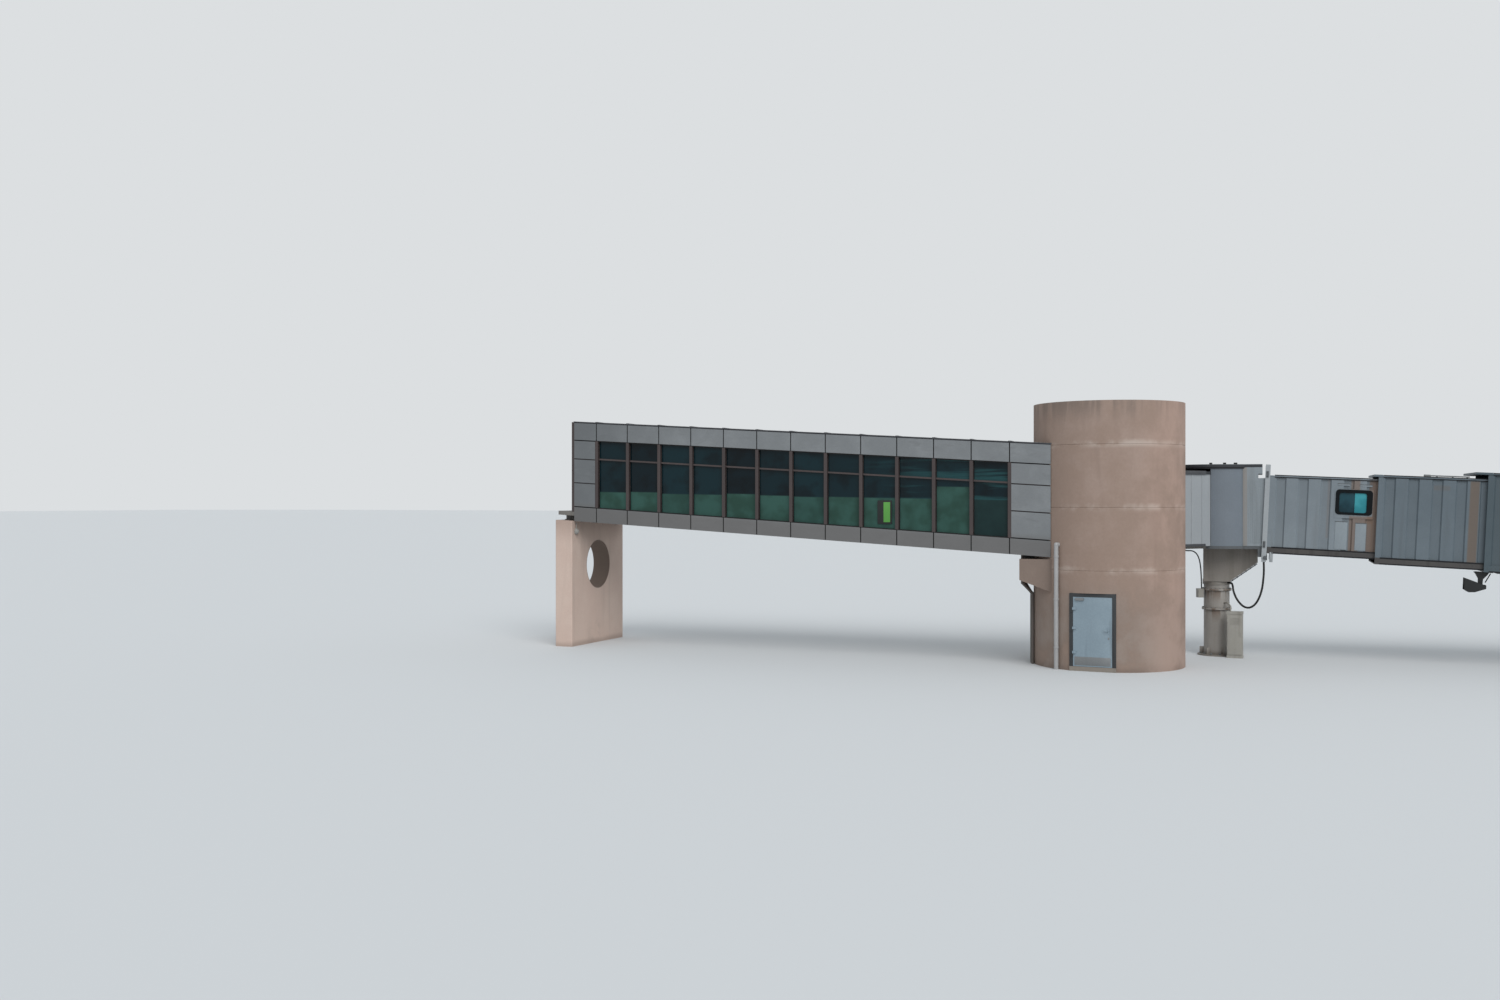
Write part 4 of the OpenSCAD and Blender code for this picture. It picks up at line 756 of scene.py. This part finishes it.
# Cable tray: two round steel rails along the sloping underside of the slewing head, with clamps across
# them. Painted dark grey like the hinge beam.
shape = bmesh.new()
head_foot_u, head_foot_z = 0.222, 1.34
head_rise = (1.69 - head_foot_z) / (0.70 - head_foot_u)
for side in (-0.22, -0.13):
    bar(shape, [(x, side, head_foot_z + (x - head_foot_u) * head_rise - 0.02) for x in (0.25, 0.69)], 0.007)
for k in range(6):
    x = 0.28 + 0.075 * k
    z = head_foot_z + (x - head_foot_u) * head_rise - 0.012
    block(shape, (x - 0.008, -0.235, z - 0.022), (x + 0.008, -0.115, z + 0.006), 0.002)
assemble("head_cable_tray", shape, beam_grey, "rotunda", at_rotunda)

# Vestibule: flat sheet steel walls and a stepped roof between the rotunda and tunnel A, with upright cover
# strips. Pale grey paint, a shade darker where the curtain rubs it.
def rubbed(tree, colour, axes, cloud, rain):
    """A band beside the curtain where it rubs the wall, darker and greyer."""
    colour = washed(tree, colour, ramp(tree, axes[0], 0.47, 0.49, 0.4, 0.0), "#5f676c")
    band = times(tree, between(tree, axes[0], 0.455, 0.525, 0.01), ramp(tree, rain, 0.2, 0.6, 0.45, 0.75))
    return washed(tree, colour, band, "#857e77")


in_rotunda = ((rotunda_x, rotunda_y, 0), (0, 0, swing))
vestibule_paint = weathered("painted_vestibule_panels", "#868e93", "#959da2", "#6a6f70", rough=0.5,
                            streaks=0.35, place=in_rotunda, extra=rubbed)
dress(vestibule_paint, "vestibule_walls", "vestibule_roof")
shape = bmesh.new()
for side in (-1, 1):
    for x in [0.553] + [0.585 + 0.033 * k for k in range(6)]:
        width = 0.009 if x < 0.56 else 0.005
        beside(shape, side, (x - width, x + width), (0.597, 0.603), (2.0, 3.16), 0.001)
    beside(shape, side, (0.46, 0.78), (0.597, 0.604), (1.992, 2.03), 0.001)
assemble("vestibule_cover_strips", shape, vestibule_paint, "rotunda", at_rotunda)

# Tunnels: three telescoping boxes of folded sheet steel on rolled side rails, A inside B inside C. Grey
# paint, darker from A to C, darker in the valleys of the folds with dirt and painted shade, and bare
# rust-brown primer where it was patched.
pitch, hinge_u, hinge_z = math.radians(2.7), 0.82, 1.79
tunnel_l, a_start, b_start, c_start = 4.0, 0.02, 1.75, 3.405
a_half, b_half, c_half = 0.645, 0.710, 0.770
fold = tunnel_l / 11
at_tunnel = at_rotunda @ Matrix.Translation((hinge_u, 0, hinge_z)) @ Matrix.Rotation(pitch, 4, "Y")
in_tunnel = (tuple(at_rotunda @ Vector((hinge_u, 0, hinge_z))), (0, pitch, swing))


def folds(start, primer, zones):
    """Darker valleys in the folds of a tunnel that starts at a distance from its hinge, dirt and painted
    shade together, and primer in zones.
    """
    def paint(tree, colour, axes, cloud, rain):
        beat = reckon(tree, "ADD", axes[0], -start)
        beat = reckon(tree, "DIVIDE", beat, fold)
        beat = reckon(tree, "FRACT", beat)
        beat = reckon(tree, "ADD", beat, -0.5)
        beat = reckon(tree, "ABSOLUTE", beat)
        # Dirt and painted shade in the valleys of the folds.
        colour = washed(tree, colour, ramp(tree, beat, 0.10, 0.25, 0.2, 0.0), "#4b5256")
        brown = linear(primer)
        for low, high, foot, head, share in zones:
            patch = times(tree, between(tree, axes[0], low, high, 0.014),
                          between(tree, axes[2], foot, head, 0.02),
                          ramp(tree, rain, 0.18, 0.5, share * 0.8, share))
            colour = blend_colour(tree, patch, colour, brown)
        return colour
    return paint


paint_a = weathered("painted_folded_steel_a", "#737c82", "#828b91", "#5f6365", rough=0.5, place=in_tunnel,
                    streaks=0.35, extra=folds(a_start, "#6e594a", (
                        (1.33, 1.47, 1.24, 1.43, 0.7), (1.675, 1.75, 0.15, 1.43, 0.85),
                        (1.32, 1.48, 0.13, 0.80, 0.75), (1.48, 1.69, 0.68, 0.80, 0.8),
                        (1.60, 1.69, 0.13, 0.80, 0.8), (1.62, 1.69, 1.20, 1.43, 0.7),
                        (0.96, 1.0, 0.4, 1.43, 0.25))))
paint_b = weathered("painted_folded_steel_b", "#59646b", "#68737a", "#4a5155", rough=0.5, place=in_tunnel,
                    streaks=0.35, extra=folds(b_start, "#64564a", (
                        (3.15, 3.29, 0.10, 1.47, 0.85), (2.60, 2.85, 1.30, 1.38, 0.3))))
paint_c = weathered("painted_folded_steel_c", "#424f55", "#505c63", "#383f43", rough=0.5, place=in_tunnel,
                    streaks=0.35, extra=folds(c_start, "#5e5148", ((4.9, 5.02, 0.3, 1.2, 0.4),)))
rail_paint = weathered("bitumen_painted_side_rails", "#484645", "#565350", "#2f2d2b", rough=0.6, gloss=0.3)
# Dark paint for the rolled edges and for a strip that stands for the roof lip's shadow.
flange_and_shadow_strip_paint = weathered("rolled_edges_and_painted_shadow_strip", "#191a1d", "#242527", "#101011", rough=0.6, gloss=0.25)
dress(paint_a, "tunnel_a_walls", "tunnel_a_roof")
dress(paint_b, "tunnel_b_walls", "tunnel_b_roof")
dress(paint_c, "tunnel_c_walls", "tunnel_c_roof", "cab_walls", "cab_roof")
dress(rail_paint, "tunnel_a_floor", "tunnel_b_floor", "cab_floor")
dress(paint_c, "tunnel_c_floor")
for letter, start, half, foot, top in (("a", a_start, a_half, 0.080, 1.444),
                                       ("b", b_start, b_half, 0.000, 1.509),
                                       ("c", c_start, c_half, -0.025, 1.609)):
    # The strip 35 mm under the top is a dark strip where there is only the roof lip's shadow: a painted
    # shadow.
    edges = [(top, 0.014, 0.002), (top - 0.035, 0.014, 0.003), (foot, 0.022, 0.004)]
    if letter != "c":
        edges.insert(2, (foot + 0.100, 0.022, 0.004))
    shape = bmesh.new()
    for side in (-1, 1):
        for low, deep, thick in edges:
            beside(shape, side, (start + 0.075, start + tunnel_l - 0.005), (half - 0.02, half + thick),
                   (low, low + deep), 0.001)
    assemble(f"tunnel_{letter}_edges", shape, flange_and_shadow_strip_paint, "tunnel_" + letter, at_tunnel)
    sizes = wall_rows(66, (start + 0.05, -half - 0.0015, foot + 0.06), 0.06, (0.009, 0.004, 0.009))
    grow(f"tunnel_{letter}_rivets", sizes, strips, rail_paint, "tunnel_" + letter,
         at_tunnel)
sizes = row_sizes(9, (c_start + 0.25, 0.0, -0.036), (0.43, 0.0, 0.0), (0.05, 1.2, 0.022))
grow("tunnel_c_floor_bearers", sizes, strips, beam_grey, "tunnel_c", at_tunnel)

# Hinge posts: white painted box sections beside the vestibule that carry tunnel A on its pins, with a
# dark bolted bracket near the head and at the foot
post_paint = weathered("white_painted_steel", "#9a9fa2", "#a9aeb0", "#74777a", rough=0.5, place=in_tunnel)
dress(post_paint, "tunnel_a_posts", "lift_columns", "lift_legs")
shape = bmesh.new()
for side in (-1, 1):
    out = side * 0.650
    for z in (1.46, 0.235):
        block(shape, (-0.045, out - 0.006, z - 0.055), (-0.005, out + 0.006, z + 0.055), 0.002)
        for shift in (-0.035, 0.035):
            bar(shape, [(-0.025, out, z + shift), (-0.025, out + side * 0.013, z + shift)], 0.009, 6)
    bar(shape, [(0, side * 0.652, 0), (0, side * 0.662, 0)], 0.034, 20)
assemble("post_brackets", shape, beam_grey, "tunnel_a", at_tunnel)
shape = bmesh.new()
for side in (-1, 1):
    beside(shape, side, (0.07, 0.128), (0.60, 0.649), (-0.07, 0.105), 0.008)
    bar(shape, [(0.099, side * 0.645, -0.03), (0.099, side * 0.656, -0.03)], 0.014)
assemble("post_feet", shape, post_paint, "tunnel_a", at_tunnel)

# Windows of tunnel A: two sheets of tinted glass, one fixed and one that slides, in a frame of black
# rubber with round corners. The slide's bright turquoise is a painted reflection of the sky.
rubber = weathered("moulded_window_rubber", "#0b1114", "#141c1f", "#060808", rough=0.7, bump=0.04,
                   gloss=0.15)


def round_corners(length, height, radius, steps=5):
    """The outline of a rectangle with round corners, about its middle."""
    flat_l, flat_h = length / 2 - radius, height / 2 - radius
    return [(flat_l * sx + radius * math.cos(t), flat_h * sz + radius * math.sin(t))
            for sx, sz, from_t in ((1, 1, 0), (-1, 1, 90), (-1, -1, 180), (1, -1, 270))
            for t in (math.radians(from_t + 90 * i / steps) for i in range(steps + 1))]


def surround(shape, side, low, high, inner_low, inner_high, corners, back, front):
    """A flat frame round an opening, on the wall of one side, between two depths."""
    rings = []
    for (a, b), radius, depth in (((low, high), corners[0], back), ((low, high), corners[0], front),
                                  ((inner_low, inner_high), corners[1], front),
                                  ((inner_low, inner_high), corners[1], back)):
        u, w = (a[0] + b[0]) / 2, (a[1] + b[1]) / 2
        rings.append([shape.verts.new((u + x, side * depth, w + z))
                      for x, z in round_corners(b[0] - a[0], b[1] - a[1], radius)])
    skin(shape, rings + rings[:1])


def tinted(name, deep, pale, cloud_scale, rough, gloss):
    """Tinted glass with little shine, whose colour drifts softly between two shades."""
    material, tree, shader = new_finish(name, Roughness=rough, IOR=1.52, Specular_IOR_Level=gloss)
    spot = add(tree, "ShaderNodeTexCoord").outputs["Object"]
    shade = ramp(tree, cloudy(tree, spot, cloud_scale, 2.0), 0.35, 0.65)
    tree.links.new(blend_colour(tree, shade, linear(deep), linear(pale)), shader.inputs["Base Color"])
    return material


frame_low, frame_high = (1.090, 0.817), (1.676, 1.250)
sight_low, sight_high = (1.150, 0.857), (1.585, 1.195)
plate_low, plate_high = (1.075, 0.757), (1.690, 1.262)
hole_low, hole_high = (1.100, 0.829), (1.664, 1.238)
shape, plates = bmesh.new(), bmesh.new()
for side in (-1, 1):
    surround(shape, side, frame_low, frame_high, sight_low, sight_high, (0.06, 0.04), 0.607, 0.652)
    surround(plates, side, plate_low, plate_high, hole_low, hole_high, (0.01, 0.05), 0.634, 0.6455)
window_frame = assemble("tunnel_a_window_frames", shape, rubber, "tunnel_a", at_tunnel)
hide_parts("tunnel_a_windows")
assemble("tunnel_a_window_plates", plates, paint_a, "tunnel_a", at_tunnel)
# The sliding pane's bright turquoise base colour is a painted reflection of the sky.
for name, deep, pale, start, end, depth in (("fixed", "#123039", "#1c414b", 1.14, 1.415, 0.626),
                                            ("sliding_painted_reflection", "#2b7c86", "#3b8f98", 1.395, 1.60, 0.634)):
    pane_glass = tinted(f"tinted_{name}_pane", deep, pale, 4.0, 0.1, 0.25)
    shape = bmesh.new()
    for side in (-1, 1):
        beside(shape, side, (start, end), (depth - 0.003, depth + 0.003), (0.845, 1.1985), 0.001)
    assemble(f"tunnel_a_{name}_panes", shape, pane_glass, "tunnel_a", at_tunnel)

# Access panels of tunnel A: pressed sheet steel, two tall panels under each window and two narrow slots
# over it. Painted a shade paler than the wall, each under a dark rail that stands for the shadow line over
# it: a painted shadow.
shape, shadow_line_rails = bmesh.new(), bmesh.new()
for low, high, foot, head in ((1.105, 1.30, 0.215, 0.690), (1.425, 1.595, 0.215, 0.675),
                              (1.12, 1.31, 1.315, 1.34), (1.47, 1.66, 1.31, 1.335)):
    for side in (-1, 1):
        beside(shape, side, (low, high), (0.634, 0.6465), (foot, head), 0.004)
        beside(shadow_line_rails, side, (low - 0.005, high + 0.005), (0.634, 0.6485), (head, head + 0.010), 0.002)
panel_paint = weathered("painted_access_panels", "#7c858b", "#8b9499", "#686d70", rough=0.5,
                        place=in_tunnel, streaks=0.2)
assemble("tunnel_a_access_panels", shape, panel_paint, "tunnel_a", at_tunnel)
assemble("tunnel_a_shadow_line_rails", shadow_line_rails, beam_grey, "tunnel_a", at_tunnel)

# Roof conduit on tunnel B: a galvanised steel tube on low clips along the roof, with a junction box at its
# end towards the rotunda
conduit_y, conduit_z, on_roof_b = -0.5, 1.545, 1.5085
shape = bmesh.new()
bar(shape, [(2.55, conduit_y, 1.509), (2.55, conduit_y, 1.535), (2.58, conduit_y, conduit_z),
            (3.16, conduit_y, conduit_z)], 0.010)
for x in (2.66, 2.9, 3.12):
    block(shape, (x - 0.012, conduit_y - 0.03, on_roof_b), (x + 0.012, conduit_y + 0.03, 1.537), 0.003)
block(shape, (2.46, conduit_y - 0.05, on_roof_b), (2.56, conduit_y + 0.05, 1.56), 0.006)
assemble("tunnel_b_roof_conduit", shape, bolt_zinc, "tunnel_b", at_tunnel)

# Hanging tray under tunnel C: a steel bracket at the inner end of its floor, and a wedge-shaped open tray
# of bent sheet that hangs from it. Both are painted near black.


def plate(shape, outline, y0, y1):
    """A flat plate that stands along the tunnel, from its outline."""
    near, far = ([shape.verts.new((x, y, z)) for x, z in outline] for y in (y0, y1))
    skin(shape, [near, far])
    shape.faces.new(near)
    shape.faces.new(far)


shape = bmesh.new()
gusset = [(3.27, -0.032), (3.50, -0.032), (3.49, -0.06), (3.415, -0.15), (3.41, -0.27), (3.35, -0.27),
          (3.345, -0.14), (3.30, -0.06)]
for y in (-0.66, -0.59):
    plate(shape, gusset, y - 0.006, y + 0.006)
block(shape, (3.29, -0.68, -0.036), (3.56, -0.57, -0.0255), 0.002)
bar(shape, [(3.52, -0.68, -0.045), (3.445, -0.68, -0.20)], 0.009)
tray = [(3.133, -0.138), (3.46, -0.248), (3.46, -0.303), (3.296, -0.368), (3.20, -0.375), (3.133, -0.335)]
for y in (-0.73, -0.53):
    plate(shape, tray, y - 0.003, y + 0.003)
for a, b in zip(tray[1:], tray[2:]):
    plate(shape, [a, b, (b[0] - 0.004, b[1] + 0.006), (a[0] - 0.004, a[1] + 0.006)], -0.73, -0.53)
assemble("tunnel_c_cable_tray", shape, case_paint, "tunnel_c", at_tunnel)

# Lift: two box columns on tunnel C with a gear motor at the head of each, inner legs, a cross beam and a
# two-wheel bogie. White paint on the columns and the bolted hubs, and black solid tyres.
tyre = weathered("solid_tyre_rubber", "#1d1d1c", "#32302d", "#101010", rough=0.8, patch=0.8, gloss=0.25)
dress(tyre, "drive_wheels")
lift_u, axle_w = 6.155, -1.2015
shape = bmesh.new()
for side in (-1, 1):
    beside(shape, side, (lift_u - 0.065, lift_u + 0.065), (0.62, 0.80), (1.615, 1.66), 0.004)
    beside(shape, side, (lift_u - 0.055, lift_u + 0.055), (0.64, 0.78), (1.66, 1.77), 0.014)
    bar(shape, [(lift_u, side * 0.71, 1.77), (lift_u, side * 0.71, 1.853)], 0.048, 20)
    for z in (0.15, 0.75, 1.35):
        beside(shape, side, (lift_u - 0.093, lift_u + 0.093), (0.80, 0.9695), (z, z + 0.03), 0.003)
assemble("lift_drives", shape, beam_grey, "tunnel_c", at_tunnel)
shape = bmesh.new()
for side in (-1, 1):
    for inner, outer in ((0.1925, 0.183), (0.3675, 0.377)):
        seat = Matrix.Translation((lift_u, side * inner, axle_w)) @ Matrix.Rotation(
            math.radians(90 if (outer < inner) == (side > 0) else -90), 4, "X")
        turned(shape, [(0.155, -0.02), (0.155, 0.004), (0.13, 0.009), (0.06, 0.009)], seat, 32)
assemble("wheel_hubs", shape, post_paint, "lift", at_tunnel)
wheel_face = at_tunnel @ Matrix.Translation((lift_u, 0, axle_w)) @ Matrix.Rotation(math.pi / 2, 4, "X")
grow("wheel_nuts", {"Bolts": 10, "Circle": 0.10, "Head": 0.010, "Length": 0.03, "Washer": 0.014,
                    "Grip": 0.02, "Rings": 2, "First": (0.0, 0.0, -0.377), "Next": (0.0, 0.0, 0.754)},
     bolt_circle, bolt_zinc, "lift", wheel_face)
grow("tyre_lugs", {"Bolts": 40, "Circle": 0.283, "Head": 0.011, "Length": 0.181, "Washer": 0.006,
                   "Grip": 0.183, "Rings": 2, "First": (0.0, 0.0, -0.28), "Next": (0.0, 0.0, 0.56)},
     bolt_circle, tyre, "lift", wheel_face)
shape = bmesh.new()
for x in (-0.20, 0.20):
    block(shape, (lift_u + x - 0.05, -0.16, axle_w - 0.05), (lift_u + x + 0.05, 0.16, axle_w + 0.09), 0.01)
for side in (-1, 1):
    beside(shape, side, (lift_u - 0.24, lift_u + 0.24), (0.16, 0.175), (axle_w - 0.06, axle_w + 0.10),
           0.004)
eye = [(0.24, -0.08), (0.30, -0.04), (0.30, 0.04), (0.24, 0.08)]
bar(shape, [(lift_u + x, y, axle_w) for x, y in eye], 0.014)
assemble("bogie_drives", shape, beam_grey, "lift", at_tunnel)

# Cab: a cab of painted sheet steel at the outer end, with a window of laminated glass on each side, a
# control desk inside and a rubber bumper across its front
cab_r = 0.850
cab_u = c_start + tunnel_l + math.sqrt(cab_r ** 2 - c_half ** 2)
cab_glass = tinted("laminated_cab_glass", "#12282e", "#1d3b41", 2.5, 0.08, 0.3)
shape = bmesh.new()
panes = bmesh.new()
for side in (-1, 1):
    mid_u, mid_w = cab_u + 0.57, 0.775
    outer, inner = round_corners(0.618, 0.518, 0.012), round_corners(0.55, 0.45, 0.05)
    rings = []
    for line, depth in ((outer, 0.758), (outer, 0.789), (inner, 0.7895), (inner, 0.758)):
        rings.append([shape.verts.new((mid_u + x, side * depth, mid_w + z)) for x, z in line])
    skin(shape, rings + rings[:1])
    beside(panes, side, (mid_u - 0.29, mid_u + 0.29), (0.772, 0.778), (mid_w - 0.24, mid_w + 0.24), 0.001)
assemble("cab_window_frames", shape, rubber, "tunnel_c", at_tunnel)
assemble("cab_panes", panes, cab_glass, "tunnel_c", at_tunnel)
shape = bmesh.new()
block(shape, (cab_u + 0.55, 0.46, 0.037), (cab_u + 0.85, 0.752, 0.50), 0.01)
block(shape, (cab_u + 0.53, 0.44, 0.50), (cab_u + 0.87, 0.752, 0.53), 0.008)
for k in range(4):
    bar(shape, [(cab_u + 0.60 + 0.06 * k, 0.55, z) for z in (0.53, 0.545)], 0.012, 16)
bar(shape, [(cab_u + 0.70, 0.66, 0.53), (cab_u + 0.69, 0.655, 0.58)], 0.008)
assemble("cab_desk", shape, post_paint, "tunnel_c", at_tunnel)
shape = bmesh.new()
bar(shape, [(cab_u + 1.19, y, 0.03) for y in (-0.70, -0.3, 0.3, 0.70)], 0.038, 20)
for y in (-0.6, -0.2, 0.2, 0.6):
    block(shape, (cab_u + 1.148, y - 0.03, 0.0), (cab_u + 1.17, y + 0.03, 0.055), 0.002)
assemble("cab_bumper", shape, tyre, "tunnel_c", at_tunnel)

# Canopy: one sheet of coated fabric folded into bellows, open below, that reaches forward from the cab's
# front. Near black, with the dull sheen of its coat.
canopy_cloth = weathered("coated_canopy_fabric", "#2c3032", "#3b4042", "#1b1e1f", rough=0.7, grain_mm=3,
                         place=in_tunnel, gloss=0.3)
left = [(-1, 0.037), (-1, 0.35), (-1, 0.8), (-1, 1.2), (-1, 1.5), (-0.985, 1.56), (-0.94, 1.59),
        (-0.6, 1.597), (-0.2, 1.599)]
profile = left + [(-x, z) for x, z in reversed(left)]
folds_n, fold_deep, canopy_l, canopy_u = 16, 0.045, 0.376, cab_u + 1.1505
canopy_half, canopy_top, canopy_mean_half = 0.789, 1.5985, 0.767
shape = bmesh.new()
rings = []
for i in range(folds_n + 1):
    tuck = fold_deep * (i % 2)
    rings.append([shape.verts.new((canopy_u + canopy_l * i / folds_n, x * (canopy_half - tuck),
                                   min(z, canopy_top - tuck))) for x, z in profile])
skin(shape, rings, closed=False)
line = [(x * canopy_mean_half, z) for x, z in profile]
bmesh.ops.recalc_face_normals(shape, faces=shape.faces)
bmesh.ops.solidify(shape, geom=shape.faces[:], thickness=0.003)
canopy = assemble("cab_bellows", shape, canopy_cloth, "tunnel_c", at_tunnel)
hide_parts("cab_canopy")

# Stage: a dull pale level floor, a plain pale sky and one broad soft lamp high up. None of it belongs to
# the bridge.
floor_mesh = bpy.data.meshes.new("floor")
reach = 300
corners = [(-reach, -reach, 0), (reach, -reach, 0), (reach, reach, 0), (-reach, reach, 0)]
floor_mesh.from_pydata(corners, [], [(0, 1, 2, 3)])
floor = bpy.data.objects.new("floor", floor_mesh)
bpy.context.scene.collection.objects.link(floor)
floor_paint, tree, shader = new_finish("pale_floor", Roughness=0.9)
shader.inputs["Base Color"].default_value = linear("#c9cbcc")
floor_mesh.materials.append(floor_paint)
world = bpy.data.worlds.new("sky")
bpy.context.scene.world = world
world.use_nodes = True
tree = world.node_tree
back = tree.nodes["Background"]
rays = add(tree, "ShaderNodeLightPath")
seen = reckon(tree, "MAXIMUM", rays.outputs["Is Camera Ray"], rays.outputs["Is Glossy Ray"])
seen = reckon(tree, "MAXIMUM", seen, rays.outputs["Is Transmission Ray"])
tree.links.new(blend_colour(tree, seen, linear("#d5dbe0"), linear("#dcdfe1")), back.inputs["Color"])
tree.links.new(ramp(tree, seen, 0.0, 1.0, 1.0, 1.0), back.inputs["Strength"])
lamp = bpy.data.lights.new("soft_sun", "SUN")
lamp.energy = 1.7
lamp.angle = math.radians(40)
sun = bpy.data.objects.new("soft_sun", lamp)
sun.rotation_euler = (math.radians(48), math.radians(8), math.radians(30))
bpy.context.scene.collection.objects.link(sun)
bpy.context.scene.view_settings.view_transform = "Standard"
